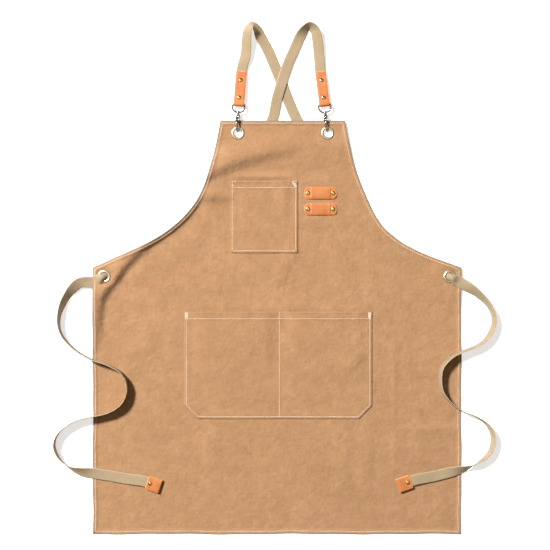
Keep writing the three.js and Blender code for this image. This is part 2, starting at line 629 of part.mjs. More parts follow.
function hookGateGeometry() {
  const { wire, hub, pin, halfThick, hingeAt, endGap } = GATE;
  const length = HOOK.nose - endGap - hingeAt;
  const rod = roundBar(wire, length, WIRE.sides).translate(0, -length / 2, 0);
  const eye = roundBar(hub, 2 * halfThick, ROUND.hub).rotateZ(Math.PI / 2);
  const bore = roundBar(pin + GAP, THROUGH, ROUND.barrel).rotateZ(Math.PI / 2);
  return cut(join([rod, eye]), [bore]);
}

function addHook(apron, { side, eyelet, hookDeg, tabDeg }) {
  const roll = deg(HOOK.rollDeg);
  const axisZ = FLOOR_GAP + HOOK.wire + (HOOK.span / 2) * Math.cos(roll);
  const heading = deg(hookDeg);
  const swivel = new THREE.Group();
  swivel.rotation.z = heading;
  swivel.position.set(
    eyelet.x - HOLE_TO_HOOK * Math.sin(heading), eyelet.y + HOLE_TO_HOOK * Math.cos(heading), axisZ);
  swivel.add(named(`hook_eye_${side}`, hookEyeGeometry(), nickelFinish()));
  const hook = new THREE.Group();
  hook.rotation.y = -roll;
  hook.add(named(`hook_body_${side}`, hookBodyGeometry(), nickelFinish()));
  const gate = named(`hook_gate_${side}`, hookGateGeometry(), nickelFinish());
  gate.position.set(0, -GATE.hingeAt, HOOK.span / 2);
  hook.add(gate);
  swivel.add(hook);
  apron.add(swivel);

  const tab = new THREE.Group();
  const bar = new THREE.Vector3(0, HOOK_EYE.bar, 0);
  swivel.updateMatrixWorld(true);
  tab.position.copy(swivel.localToWorld(bar));
  tab.rotation.z = deg(tabDeg);
  const slope = new THREE.Group();
  slope.rotation.x = Math.atan2(TAB.endZ - axisZ, TAB.length);
  const foldGap = HOOK.wire + TAB_FOLD.play;
  const leather = foldedLeather({ length: TAB.length, width: TAB.width, foldGap, rivets: TAB.rivets });
  slope.add(named(`strap_tab_${side}`, leather, leatherFinish()));
  TAB.rivets.forEach((y, i) => {
    slope.add(foldedRivet(`tab_rivet_${side}_${['lower', 'upper'][i]}`, y));
  });
  tab.add(slope);
  apron.add(tab);
  return slope;
}

// Leather end of a waist tie
function addTip(apron, { side, x, y, backDeg }) {
  const tip = new THREE.Group();
  tip.position.set(x, y, TIP.z);
  tip.rotation.z = deg(backDeg);
  const foldGap = WEBBING.thick / 2 + GAP;
  const leather = foldedLeather({ length: TIP.length, width: TIP.width, foldGap, rivets: [TIP.rivet] });
  tip.add(named(`tie_tip_${side}`, leather, leatherFinish()));
  tip.add(foldedRivet(`tip_rivet_${side}`, TIP.rivet));
  apron.add(tip);
  return tip;
}

// Webbing

function flatRow(frame, y, steps) {
  const p = frame.localToWorld(new THREE.Vector3(0, y, 0));
  return { x: p.x, y: p.y, lift: p.z - WEBBING.thick / 2, lean: 0, gather: 0, steps };
}

function eyeletRows({ back, waistX }) {
  const last = back[back.length - 1];
  const heading = Math.atan2(WAIST_EYELET.y - last.y, waistX - last.x);
  return THROUGH_EYELET.map(({ along, lift, gather, steps }) => ({
    x: waistX + along * Math.cos(heading),
    y: WAIST_EYELET.y + along * Math.sin(heading),
    lift, lean: 180, gather, steps,
  }));
}

function strapRows(side, tab, tip) {
  const back = side.back.map((p) => ({ ...p, lift: FLOOR_GAP, lean: 180, steps: BACK_STEPS }));
  return [
    flatRow(tab, WEBBING_END.insideTab, 2), flatRow(tab, TAB.length + WEBBING_END.pastTab, 2),
    ...side.shoulder, ...back, ...eyeletRows(side), ...side.tie,
    flatRow(tip, TIP.length + WEBBING_END.pastTip, 2), flatRow(tip, WEBBING_END.insideTip, 0),
  ];
}

function strapSections(rows) {
  const curve = new THREE.CatmullRomCurve3(rows.map((p) => new THREE.Vector3(p.x, p.y, 0)));
  const sections = [];
  for (let i = 0; i + 1 < rows.length; i++) {
    const [a, b] = [rows[i], rows[i + 1]];
    const last = i + 2 === rows.length;
    for (let k = 0; k < a.steps + (last ? 1 : 0); k++) {
      const f = k / a.steps;
      const ease = smoothstep(f, 0, 1);
      const gather = lerp(a.gather ?? 0, b.gather ?? 0, ease);
      const width = lerp(WEBBING.width, WEBBING.bunchedWidth, gather);
      const thick = lerp(WEBBING.thick, WEBBING.bunchedThick, gather);
      const lean = deg(lerp(a.lean, b.lean, ease));
      const rise = (width / 2) * Math.abs(Math.sin(lean)) + (thick / 2) * Math.abs(Math.cos(lean));
      const middle = curve.getPoint((i + f) / (rows.length - 1));
      middle.z = lerp(a.lift, b.lift, ease) + rise;
      sections.push({ middle, lean, width, thick });
    }
  }
  return sections;
}

function strapGeometry(side, tab, tip, rivets) {
  const sections = strapSections(strapRows(side, tab, tip));
  const up = new THREE.Vector3(0, 0, 1);
  const rings = sections.map(({ middle, lean, width, thick }, i) => {
    const before = sections[Math.max(i - 1, 0)].middle;
    const after = sections[Math.min(i + 1, sections.length - 1)].middle;
    const travel = after.clone().sub(before).normalize();
    const leftward = up.clone().cross(travel).normalize();
    const upward = travel.clone().cross(leftward);
    const turn = side.hand * lean;
    const across = leftward.clone().multiplyScalar(Math.cos(turn)).addScaledVector(upward, -Math.sin(turn));
    const normal = leftward.clone().multiplyScalar(Math.sin(turn)).addScaledVector(upward, Math.cos(turn));
    return [[1, 1], [-1, 1], [-1, -1], [1, -1]].map(([w, t]) =>
      middle.clone().addScaledVector(across, (w * width) / 2).addScaledVector(normal, (t * thick) / 2));
  });
  const holes = rivets.map((rivet) => rivetDrill().applyMatrix4(rivet.matrixWorld));
  return cut(ribbonGeometry(rings), holes);
}

function addHarness(apron, side) {
  const tab = addHook(apron, side);
  const tip = addTip(apron, side.tip);
  apron.updateMatrixWorld(true);
  const rivets = [...tab.children, ...tip.children].filter((piece) => piece.name.includes('rivet'));
  apron.add(named(`strap_${side.side}`, strapGeometry(side, tab, tip, rivets), webbingFinish()));
}

function addEyelets(apron) {
  SIDES.forEach((side, i) => {
    const bib = named(`bib_grommet_${side.side}`, eyeletGeometry(), nickelFinish());
    bib.position.set(bibEyelets[i].x, bibEyelets[i].y, OVER_HOOKS.height);
    const waistSide = side.waistX > 0 ? 'right' : 'left';
    const waist = named(`waist_grommet_${waistSide}`, eyeletGeometry(), nickelFinish());
    waist.position.set(waistEyelets[i].x, waistEyelets[i].y, AT_WAIST.height);
    apron.add(bib, waist);
  });
}

const apron = new THREE.Group();
apron.add(named('apron_body', bodyGeometry(), canvasFinish()));
apron.add(named('chest_pocket', pocketGeometry(CHEST_POCKET), canvasFinish()));
apron.add(named('lap_pocket', pocketGeometry(LAP_POCKET), canvasFinish()));
addPenLoops(apron);
addEyelets(apron);
for (const side of SIDES) addHarness(apron, side);

export default apron;
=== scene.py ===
"""Canvas work apron lying on its back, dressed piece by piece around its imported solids.

Lengths are millimetres, and metres in the finishes, floor, light and camera.
+X is right, +Y towards the bib, +Z up.
"""

import math

import bmesh
import bpy
import numpy as np
from mathutils import Matrix, Vector
from mathutils.geometry import delaunay_2d_cdt


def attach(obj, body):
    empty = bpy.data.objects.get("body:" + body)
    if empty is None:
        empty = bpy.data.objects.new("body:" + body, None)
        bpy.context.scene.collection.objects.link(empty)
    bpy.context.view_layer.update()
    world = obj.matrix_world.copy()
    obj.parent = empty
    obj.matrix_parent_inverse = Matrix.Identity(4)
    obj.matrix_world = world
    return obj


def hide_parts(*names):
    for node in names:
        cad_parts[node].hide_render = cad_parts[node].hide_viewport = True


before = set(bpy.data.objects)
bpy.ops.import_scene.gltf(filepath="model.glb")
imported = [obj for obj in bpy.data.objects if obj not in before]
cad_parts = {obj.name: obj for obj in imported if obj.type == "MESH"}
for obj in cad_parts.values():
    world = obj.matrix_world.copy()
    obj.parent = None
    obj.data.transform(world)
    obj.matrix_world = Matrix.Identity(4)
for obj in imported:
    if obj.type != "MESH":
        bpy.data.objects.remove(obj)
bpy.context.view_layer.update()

MM = 0.001
draws = np.random.default_rng(11)

# Sizes of the pieces, the main ones shared with the solids
CANVAS = 1.2
HEM = {"width": 7.0, "step": 1.8, "thick": 2.4, "stitch": 5.3, "pucker": 0.22, "worn": 7.5}
BODY = {"half": 340.0, "waist_y": 18.5, "bottom_y": -473.5, "bib_half": 115.0, "bib_y": 289.0}
ARMHOLE = {"upper": (150.0, 84.0), "lower": (208.0, 71.0)}
BIB_SHIFT = {"x": 10.6, "from_y": 39.0, "to_y": 159.0}
WAIST_SHIFT = {"x": -5.0, "from_y": 15.0, "to_y": 40.0}
WEBBING = {
    "width": 20.0, "thick": 1.5, "edge_thin": 0.5, "edge_power": 14, "rib": 0.05, "rib_pitch": 3.3,
    "curl": 2.0, "worn": (6.0, 10.0),
}
LEATHER = 1.6
EYELET = {"hole": 7.0, "barrel": 0.8, "outer": 12.0, "washer": 10.8, "play": 0.15}
BIB_EYELET = {"x": 82.5, "y": 266.0, "z": 5.0}
WAIST_EYELET = {"x": 318.5, "y": 1.5, "z": 5.0}
RIVET = {"cap": 3.8, "shank": 1.8, "dome": 1.4, "back": 0.8, "rim": 0.35, "sunk": 0.12, "washer_sunk": 0.1}
CHEST_POCKET = {
    "left": -85.0, "right": 38.0, "bottom": 45.5, "top": 178.5, "chamfer": 0.0, "gape": 3.4, "roll": 0.9,
    "seams": [],
}
LAP_POCKET = {
    "left": -170.5, "right": 175.0, "bottom": -260.5, "top": -63.0, "chamfer": 24.0, "gape": 3.0, "roll": 0.3,
    "seams": [4.6],
}
POCKET = {
    "seam": 4.0, "rise": 24.0, "full_at": 0.98, "hem": 14.5, "hem_stitch": 13.2, "turned": 9.0, "step": 1.5,
    "thick": 1.9, "stitch": 3.7, "off_body": 0.25, "pucker": 0.12, "worn": 5.0, "worn_share": 0.6,
    "mouth_round": 0.25, "sides_below": 0.5, "hem_inside": 0.6, "seam_below": 1.2,
}
# Distance down from a pocket's mouth at which each of these begins and is full
MOUTH = {
    "round": (0.5, 4.0), "roll": (0.0, 1.4), "roll_end": (1.8, 6.5), "sewn": (3.0, 8.0), "worn": (3.0, 9.0),
}
PEN_LOOP = {
    "left": 51.0, "right": 110.0, "width": 22.0, "base": 3.5, "rivet_inset": 6.5, "corner": 7.5, "rise": 1.1,
    "rise_at": (10.0, 13.6), "crown": 0.6, "crown_from": 12.5, "droop": 1.1, "droop_at": (9.0, 16.0),
}
PEN_LOOP_Y = {"upper": 155.5, "lower": 126.0}
LOOP_ROW_Y = 140.7
TAB = {
    "length": 62.0, "width": 19.6, "rivets": (12.2, 45.0), "end_z": 3.5, "fold": 2.4, "corner": 2.2,
    "webbing_from": 9.0, "webbing_past": 4.0,
}
TIP = {
    "length": 24.0, "width": 25.0, "rivets": (18.0,), "z": 5.4, "corner": 2.0,
    "webbing_from": 3.0, "webbing_past": 6.0,
}
# From the middle of the webbing to the leather folded over it
LAYER = 1.05
HOOK = {
    "wire": 1.7, "span": 12.2, "bend": 17.0, "nose": 15.6, "barrel": 4.2, "barrel_length": 7.0, "bore": 2.3,
    "roll": 18.0,
}
HOOK_EYE = {
    "bar": 27.2, "foot": 12.6, "half": 11.4, "corner": 2.0, "post": 2.0, "head": 2.7, "head_thick": 1.6,
}
GATE = {
    "wire": 1.5, "hinge": 3.0, "hub": 2.5, "pin": 1.1, "half_thick": 1.5, "ear": 1.2, "ear_side": 1.8,
    "off_nose": 0.4, "play": 0.3,
}
HOLE_TO_HOOK = 25.5
FLOOR_GAP = 0.2

# Lean of the webbing in degrees where it lies flat, either way up
FLAT, FLAT_OVER = 0.0, 180.0
# Webbing routes in front: x, y, height of the lower side, lean from flat in degrees
SHOULDER_LEFT = [
    (-58, 411, 2.2, 198), (-56, 440, 6.5, 208), (-53, 456, 10, 222), (-45.5, 463.6, 10, 234),
    (-37.4, 457.5, 0.8, 216), (-30.6, 444.5, 0.2, 190), (-16.6, 418.5, 0.2, 180), (6.1, 365, 0.2, 180),
]
SHOULDER_RIGHT = [
    (77.2, 411, 1.4, 170), (73.6, 440, 3.2, 162), (69.0, 456, 3.6, 146), (60.0, 461.8, 3.0, 116),
    (52.0, 457, 1.0, 124), (43.0, 444.5, 0.6, 174), (30.8, 417.5, 1.4, 180), (21.3, 396.5, 2.3, 180),
    (0.4, 331.5, 2.3, 180),
]
TIE_RIGHT = [
    (366, -27, 3.0, 132), (390, -52.5, 0.4, 107), (399, -78.5, 0.2, 103), (391.5, -103, 0.2, 106),
    (371.5, -123, 1.8, 97), (340, -136, 2.9, 94), (319.5, -147, 2.9, 96), (303, -165.5, 2.2, 100),
    (299.5, -186, 2.2, 100), (303, -208, 2.2, 97), (319.5, -230, 2.9, 92), (340, -245, 2.9, 93),
    (366, -256, 1.8, 97), (388, -272.5, 0.2, 104), (397.5, -296.5, 0.2, 107), (390, -322.5, 0.2, 100),
    (371.5, -339, 1, 90), (355, -347.5, 2.4, 68), (338, -353.5, 2.9, 34), (318, -359, 2.9, 6),
    (290, -366, 2.9, 0),
]
TIE_LEFT = [
    (-364, -10.5, 5, 160), (-390, -41.5, 0.6, 122), (-401, -75, 0.2, 96), (-397, -102.5, 0.2, 90),
    (-373.5, -130.5, 1.8, 90), (-340, -150.5, 2.9, 90), (-308.5, -161.5, 2.9, 90), (-283, -178.5, 2.2, 90),
    (-274.5, -204, 2.2, 90), (-283, -230, 2.2, 90), (-305, -246.5, 2.9, 92), (-340, -256, 2.9, 92),
    (-373.5, -265, 1.8, 90), (-401, -285.5, 0.2, 90), (-409.5, -307.5, 0.2, 90), (-401, -331.5, 0.2, 88),
    (-382.5, -348.5, 0.8, 70), (-362, -357, 2.4, 34), (-340, -360.5, 2.9, 8), (-310, -365, 2.9, 0),
    (-276, -371, 3.2, 0),
]
# Webbing routes behind the body: x, y
BACK_LEFT = [(37.9, 289), (83, 226), (133, 156), (175.5, 99), (223.5, 58), (268, 30)]
BACK_RIGHT = [
    (-9.6, 289), (-40.7, 245), (-83, 206), (-118, 169), (-133, 130), (-159, 88), (-207, 54.5), (-264, 27),
]
# Through a waist eyelet: distance past its middle, height, how far it is gathered
THROUGH_EYELET = [
    (-30, 0.2, 0), (-13, 0.2, 0), (-5, 0.4, 0.55), (-1, 2.6, 0.9), (3.6, 7.4, 0.9), (8, 7.9, 0.5),
    (13, 7.7, 0.12), (22, 7.2, 0),
]
# Each strap is named for the shoulder where it starts; its tie ends on the other side
SIDES = {
    "left": {
        "hand": 1, "shoulder": SHOULDER_LEFT, "back": BACK_LEFT, "tie": TIE_RIGHT,
        "hook_deg": -1.5, "tab_deg": -5.0, "eyelet_x": BIB_SHIFT["x"] - BIB_EYELET["x"],
        "tie_side": "right", "waist_x": WAIST_EYELET["x"], "tip": (224.0, -383.5), "tip_deg": -70.0,
    },
    "right": {
        "hand": -1, "shoulder": SHOULDER_RIGHT, "back": BACK_RIGHT, "tie": TIE_LEFT,
        "hook_deg": 6.4, "tab_deg": 6.8, "eyelet_x": BIB_SHIFT["x"] + BIB_EYELET["x"],
        "tie_side": "left", "waist_x": -WAIST_EYELET["x"], "tip": (-216.5, -385.0), "tip_deg": 71.0,
    },
}

# Cloth raised over what lies under it: flat half-width, fall beside it, height
OVER_STRAP = {"flat": 12.0, "fall": 34.0, "height": 2.1}
UNDER_LOOPS = {"flat": 34.0, "fall": 34.0, "height": 2.1}
OVER_HOOKS = {"flat": 30.0, "fall": 60.0, "height": 5.0}
AT_WAIST = {
    "left": {"flat": 14.0, "fall": 15.0, "height": 5.0},
    "right": {"flat": 22.0, "fall": 52.0, "height": 5.0},
}
# Distance to which a piece holds the cloth level, and at which the cloth is free again
EYELET_HOLDS = (12.5, 19.0)
LOOPS_HOLD = (24.0, 42.0)

# Folds of the lying cloth: width of the rise on the left of travel, then the crest's points as
# x, y, height and width of the fall on the right of travel
FOLDS = [
    (40.0, [
        (-336, -128, 2.5, 15), (-333, -80, 7.5, 15), (-328, -38, 11.5, 16), (-312, -14, 10.5, 15),
        (-297.5, 1.5, 11.0, 15), (-283, 22, 11.5, 16), (-267.5, 39.5, 11.5, 18), (-246, 59, 11.0, 19),
        (-225, 75.5, 10.5, 20), (-200, 92, 10.2, 20), (-172, 114, 9.2, 18), (-153, 136, 7.4, 15),
        (-140, 159, 5.4, 12), (-130, 182, 2.4, 9),
    ]),
    (48.0, [
        (-150, 178, 5.0, 18), (-120, 196, 9.0, 24), (-92, 211, 11.5, 27), (-55, 224, 11.2, 27),
        (-12, 233, 9.8, 26), (30, 240, 7.0, 24), (62, 246, 3.6, 20),
    ]),
    (20.0, [(-146, 149, 4.0, 16), (-120, 149, 8.0, 18), (-95, 146, 3.2, 14)]),
    (12.0, [(-76, 182.4, 2.6, 4), (-24, 182.4, 4.2, 4), (30, 182.4, 2.6, 4)]),
    (12.0, [(-164, -58.6, 0.5, 4), (4, -58.6, 0.9, 4), (170, -58.6, 0.5, 4)]),
    (30.0, [(72, 196, 1.2, 15), (68, 222, 4.6, 17), (62, 252, 3.6, 16), (58, 274, 1.4, 12)]),
    (22.0, [(4, -8, 0.6, 14), (18, 22, 2.0, 15), (36, 48, 0.8, 12)]),
    (30.0, [(148, -42, 0.6, 16), (126, 28, 1.7, 18), (83, 97, 0.6, 14)]),
    (16.0, [(140, 128, 0.5, 9), (129, 150, 1.4, 10), (122, 172, 0.5, 9)]),
    (24.0, [(124, -395, 0.6, 16), (126, -320, 1.8, 18), (120, -268, 0.7, 14)]),
    (20.0, [(165, -400, 0.5, 14), (168, -330, 1.5, 15), (164, -275, 0.6, 14)]),
    (22.0, [(-108, -395, 0.5, 16), (-116, -330, 1.7, 18), (-112, -275, 0.6, 14)]),
    (6.0, [(217, -400, 0.5, 5), (219, -180, 1.0, 6), (218, -95, 0.6, 5)]),
    (6.0, [(219, -281, 0.6, 5), (280, -283, 1.0, 6), (336, -282, 0.6, 5)]),
    (18.0, [(122, -180, 0.5, 12), (142, -158, 2.0, 13), (160, -140, 0.6, 12)]),
    (30.0, [(-300, -215, 0.6, 20), (-262, -150, 1.6, 24), (-215, -95, 0.8, 20)]),
    (22.0, [
        (130, 160, 1.0, 26), (160, 112, 2.0, 30), (205, 76, 2.6, 32), (252, 44, 3.2, 34), (300, 8, 3.0, 30),
    ]),
]
CREST_WIDTH = 4.0
CREST_FADE = 30.0
RIPPLES = {"count": 22, "longest": 170.0, "shortest": 46.0, "height": 0.16, "soft": 0.09}

# Slightly uneven cut edges: size, length and phase of each wave, and the distance below the origin
# at which the waves begin and are full
SIDE_WAVES = [(0.5, 31.0, 0.0), (0.35, 12.7, 1.0)]
SIDE_WAVES_FROM = (-BODY["waist_y"], 60.0)
BOTTOM_WAVES = [(0.6, 37.0, 0.6), (0.4, 14.3, 0.0)]
BOTTOM_WAVES_FROM = (440.0, 471.0)


def ease(value, low, high):
    t = np.clip((value - low) / (high - low), 0.0, 1.0)
    return t * t * (3.0 - 2.0 * t)


def blend(a, b, share):
    return a + (b - a) * share


def pick(table, *names):
    return [table[name] for name in names]


# Lying cloth


def beside_path(x, y, path):
    """Distance to a path, positive on the right of travel, place in points along it, distance past an end."""
    nearest = np.full(np.shape(x), np.inf)
    signed = np.zeros(np.shape(x))
    place = np.zeros(np.shape(x))
    past = np.zeros(np.shape(x))
    last = len(path) - 2
    for k in range(len(path) - 1):
        (ax, ay), (bx, by) = path[k][:2], path[k + 1][:2]
        dx, dy = bx - ax, by - ay
        length = math.hypot(dx, dy)
        free = ((x - ax) * dx + (y - ay) * dy) / (length * length)
        t = np.clip(free, 0.0, 1.0)
        px, py = x - ax - t * dx, y - ay - t * dy
        distance = np.hypot(px, py)
        closer = distance < nearest
        nearest = np.where(closer, distance, nearest)
        signed = np.where(closer, np.where(px * dy - py * dx >= 0, distance, -distance), signed)
        place = np.where(closer, k + t, place)
        beyond = np.maximum(-free if k == 0 else 0.0, free - 1.0 if k == last else 0.0) * length
        past = np.where(closer, np.maximum(beyond, 0.0), past)
    return signed, place, past


def raised(distance, shape):
    return shape["height"] * (1.0 - ease(np.abs(distance), shape["flat"], shape["flat"] + shape["fall"]))


RIPPLE_WAVES = [
    {
        "turn": draws.uniform(0, math.tau),
        "phase": draws.uniform(0, math.tau),
        "length": RIPPLES["longest"] * (RIPPLES["shortest"] / RIPPLES["longest"]) ** draws.uniform(),
    }
    for _ in range(RIPPLES["count"])
]


def ripples(x, y):
    """Low unevenness all over the cloth, only upwards."""
    total = np.zeros(np.shape(x))
    for wave in RIPPLE_WAVES:
        across = x * math.cos(wave["turn"]) + y * math.sin(wave["turn"])
        size = wave["length"] / RIPPLES["longest"]
        total += size * np.sin(across * math.tau / wave["length"] + wave["phase"])
    total *= RIPPLES["height"]
    return 0.5 * (total + np.sqrt(total * total + RIPPLES["soft"]))


def fold_lift(x, y):
    total = np.zeros(np.shape(x))
    for rise, crest in FOLDS:
        signed, place, past = beside_path(x, y, crest)
        _, _, heights, falls = np.array(crest, float).T
        count = np.arange(len(heights))
        height, fall = np.interp(place, count, heights), np.interp(place, count, falls)
        slope = (1.0 - ease(signed, 0.0, fall)) * ease(signed, -CREST_WIDTH - rise, -CREST_WIDTH)
        total += (height * slope * (1.0 - ease(past, 0.0, CREST_FADE))) ** 3
    return np.cbrt(total)


BIB_EYELETS = [(side["eyelet_x"], BIB_EYELET["y"]) for side in SIDES.values()]
WAIST_EYELETS = [(side["waist_x"], WAIST_EYELET["y"]) for side in SIDES.values()]
LOOP_ROW = [(PEN_LOOP["left"], LOOP_ROW_Y), (PEN_LOOP["right"], LOOP_ROW_Y)]


def cloth_lift(x, y):
    """Height of the cloth's underside over the floor."""
    from_loops = beside_path(x, y, LOOP_ROW)[0]
    parts = [fold_lift(x, y), raised(from_loops, UNDER_LOOPS)]
    parts.append(raised(beside_path(x, y, BIB_EYELETS)[0], OVER_HOOKS))
    for side in SIDES.values():
        parts.append(raised(beside_path(x, y, side["back"])[0], OVER_STRAP))
    for (ex, ey), side in zip(WAIST_EYELETS, SIDES.values()):
        parts.append(raised(np.hypot(x - ex, y - ey), AT_WAIST[side["tie_side"]]))
    lift = sum(part**3 for part in parts) ** (1.0 / 3.0) + ripples(x, y)
    for ex, ey in BIB_EYELETS + WAIST_EYELETS:
        lift = blend(lift, BIB_EYELET["z"], 1.0 - ease(np.hypot(x - ex, y - ey), *EYELET_HOLDS))
    return blend(lift, UNDER_LOOPS["height"], 1.0 - ease(np.abs(from_loops), *LOOPS_HOLD))


# Outlines and flat cuts


def travelled(points):
    """Distance along a line at each of its points."""
    return np.concatenate([[0.0], np.cumsum(np.linalg.norm(np.diff(points, axis=0), axis=1))])


def at_stations(stations, along, table):
    return np.column_stack([np.interp(stations, along, column) for column in table.T])


def even_line(points, step):
    """Points along a line at about an even step, both ends kept."""
    points = np.asarray(points, float)
    along = travelled(points)
    count = max(2, int(round(along[-1] / step)) + 1)
    return at_stations(np.linspace(0.0, along[-1], count), along, points)


def bezier(a, b, c, d, count=200):
    t = np.linspace(0.0, 1.0, count)[:, None]
    a, b, c, d = (np.array(p, float) for p in (a, b, c, d))
    return a * (1 - t) ** 3 + 3 * b * t * (1 - t) ** 2 + 3 * c * t**2 * (1 - t) + d * t**3


def closed_loop(stretches, step=3.0):
    return np.vstack([even_line(stretch, step)[:-1] for stretch in stretches])


def waves(value, shapes):
    return sum(size * np.sin(value / length + phase) for size, length, phase in shapes)


def body_outline():
    """Edge of the body, anticlockwise from the bib's top right corner."""
    top = np.array([BODY["bib_half"], BODY["bib_y"]])
    waist = np.array([BODY["half"], BODY["waist_y"]])
    corner = np.array([BODY["half"], BODY["bottom_y"]])
    armhole = bezier(top, ARMHOLE["upper"], ARMHOLE["lower"], waist)
    mirror = np.array([-1.0, 1.0])
    loop = closed_loop([
        [top, top * mirror],
        armhole * mirror,
        [waist * mirror, corner * mirror],
        [corner * mirror, corner],
        [corner, waist],
        armhole[::-1],
    ])
    x, y = loop.T
    low_shift = WAIST_SHIFT["x"] * ease(y, WAIST_SHIFT["from_y"], WAIST_SHIFT["to_y"])
    shifted = x + blend(low_shift, BIB_SHIFT["x"], ease(y, BIB_SHIFT["from_y"], BIB_SHIFT["to_y"]))
    sway = waves(y, SIDE_WAVES) * ease(-y, *SIDE_WAVES_FROM) * np.sign(x)
    dip = waves(x, BOTTOM_WAVES) * ease(-y, *BOTTOM_WAVES_FROM)
    return np.column_stack([shifted + sway, y + dip])


def pocket_outline(pocket):
    left, right, bottom, top, chamfer = pick(pocket, "left", "right", "bottom", "top", "chamfer")
    low = [(left, bottom), (right, bottom)]
    if chamfer:
        low = [(left, bottom + chamfer), (left + chamfer, bottom)]
        low += [(right - chamfer, bottom), (right, bottom + chamfer)]
    corners = [(right, top), (left, top), *low, (right, top)]
    return closed_loop(list(zip(corners[:-1], corners[1:])))


def edge_facts(xy, loop):
    """For each point: distance in from a closed edge, place along it, and whether it lies inside."""
    x, y = xy.T
    nearest = np.full(len(xy), np.inf)
    place = np.zeros(len(xy))
    inside = np.zeros(len(xy), bool)
    start = 0.0
    for (ax, ay), (bx, by) in zip(loop, np.roll(loop, -1, axis=0)):
        dx, dy = bx - ax, by - ay
        length = math.hypot(dx, dy)
        t = np.clip(((x - ax) * dx + (y - ay) * dy) / (length * length), 0.0, 1.0)
        distance = np.hypot(x - ax - t * dx, y - ay - t * dy)
        closer = distance < nearest
        nearest = np.where(closer, distance, nearest)
        place = np.where(closer, start + t * length, place)
        if dy:
            inside ^= ((ay > y) != (by > y)) & (x < ax + (y - ay) * dx / dy)
        start += length
    return nearest, place, inside


CORNER_SLACK = 0.06


def inset_line(loop, depth):
    """Line at a depth inside a closed edge, cut short at the corners."""
    ahead = np.roll(loop, -1, axis=0) - loop
    ahead /= np.linalg.norm(ahead, axis=1)[:, None]
    travel = ahead + np.roll(ahead, 1, axis=0)
    travel /= np.linalg.norm(travel, axis=1)[:, None]
    line = loop + depth * np.column_stack([-travel[:, 1], travel[:, 0]])
    return line[edge_facts(line, loop)[0] > depth - CORNER_SLACK]


HOLE_SIDES = 32
HOLE_RINGS = (1.5, 4.5)
HOLE_CLEAR = 8.0
HOLE_INSIDE = 0.995
FILL = {"row_pitch": 0.866, "off_hem": 0.6}
SAME_POINT = 1e-5


def hole_ring(hole, radius):
    turn = np.linspace(0.0, math.tau, HOLE_SIDES, endpoint=False)
    return np.array(hole) + radius * np.column_stack([np.cos(turn), np.sin(turn)])


def clear_of(xy, holes, radius):
    return np.all([np.hypot(*(xy - hole).T) > radius for hole in holes], axis=0) if holes else True


def filling(loop, spacing):
    """Points in staggered rows over the box round a closed edge."""
    low, high = loop.min(axis=0), loop.max(axis=0)
    rows = []
    for i, y in enumerate(np.arange(low[1], high[1], spacing * FILL["row_pitch"])):
        x = np.arange(low[0] + (i % 2) * spacing / 2, high[0], spacing)
        rows.append(np.column_stack([x, np.full_like(x, y)]))
    return np.vstack(rows)


def flat_cut(loop, spacing, depths, holes=(), hole_radius=0.0):
    """Triangles over a cut piece of cloth, with lines of points along its hem and round its holes."""
    fill = filling(loop, spacing)
    depth, _, inside = edge_facts(fill, loop)
    off_hem = depth > depths[-1] + spacing * FILL["off_hem"]
    keep = inside & off_hem & clear_of(fill, holes, hole_radius + HOLE_CLEAR)
    parts = [loop]
    edges = [(i, (i + 1) % len(loop)) for i in range(len(loop))]
    count = len(loop)
    for hole in holes:
        parts.append(hole_ring(hole, hole_radius))
        edges += [(count + i, count + (i + 1) % HOLE_SIDES) for i in range(HOLE_SIDES)]
        count += HOLE_SIDES
    parts += [inset_line(loop, d) for d in depths]
    parts += [hole_ring(hole, hole_radius + d) for hole in holes for d in HOLE_RINGS]
    parts.append(fill[keep])
    points = [Vector(p) for p in np.vstack(parts)]
    found = delaunay_2d_cdt(points, edges, [], 0, SAME_POINT, False)
    xy = np.array([tuple(p) for p in found[0]])
    triangles = np.array(found[2])
    middle = xy[triangles].mean(axis=1)
    kept = edge_facts(middle, loop)[2] & clear_of(middle, holes, hole_radius * HOLE_INSIDE)
    triangles = triangles[kept]
    a, b, c = (xy[triangles[:, k]] for k in range(3))
    turn = (b[:, 0] - a[:, 0]) * (c[:, 1] - a[:, 1]) - (b[:, 1] - a[:, 1]) * (c[:, 0] - a[:, 0])
    triangles = np.where(turn[:, None] < 0, triangles[:, ::-1], triangles)
    return xy, triangles


def cloth_solid(xy, triangles, low, high):
    """Closed sheet between two heights over a flat cut."""
    count = len(xy)
    points = np.vstack([np.column_stack([xy, high]), np.column_stack([xy, low])])
    edges = {(tri[k], tri[(k + 1) % 3]): None for tri in triangles.tolist() for k in range(3)}
    walls = [(b, a, a + count, b + count) for a, b in edges if (b, a) not in edges]
    faces = [*triangles.tolist(), *(triangles[:, ::-1] + count).tolist(), *walls]
    return points, faces


# Pieces


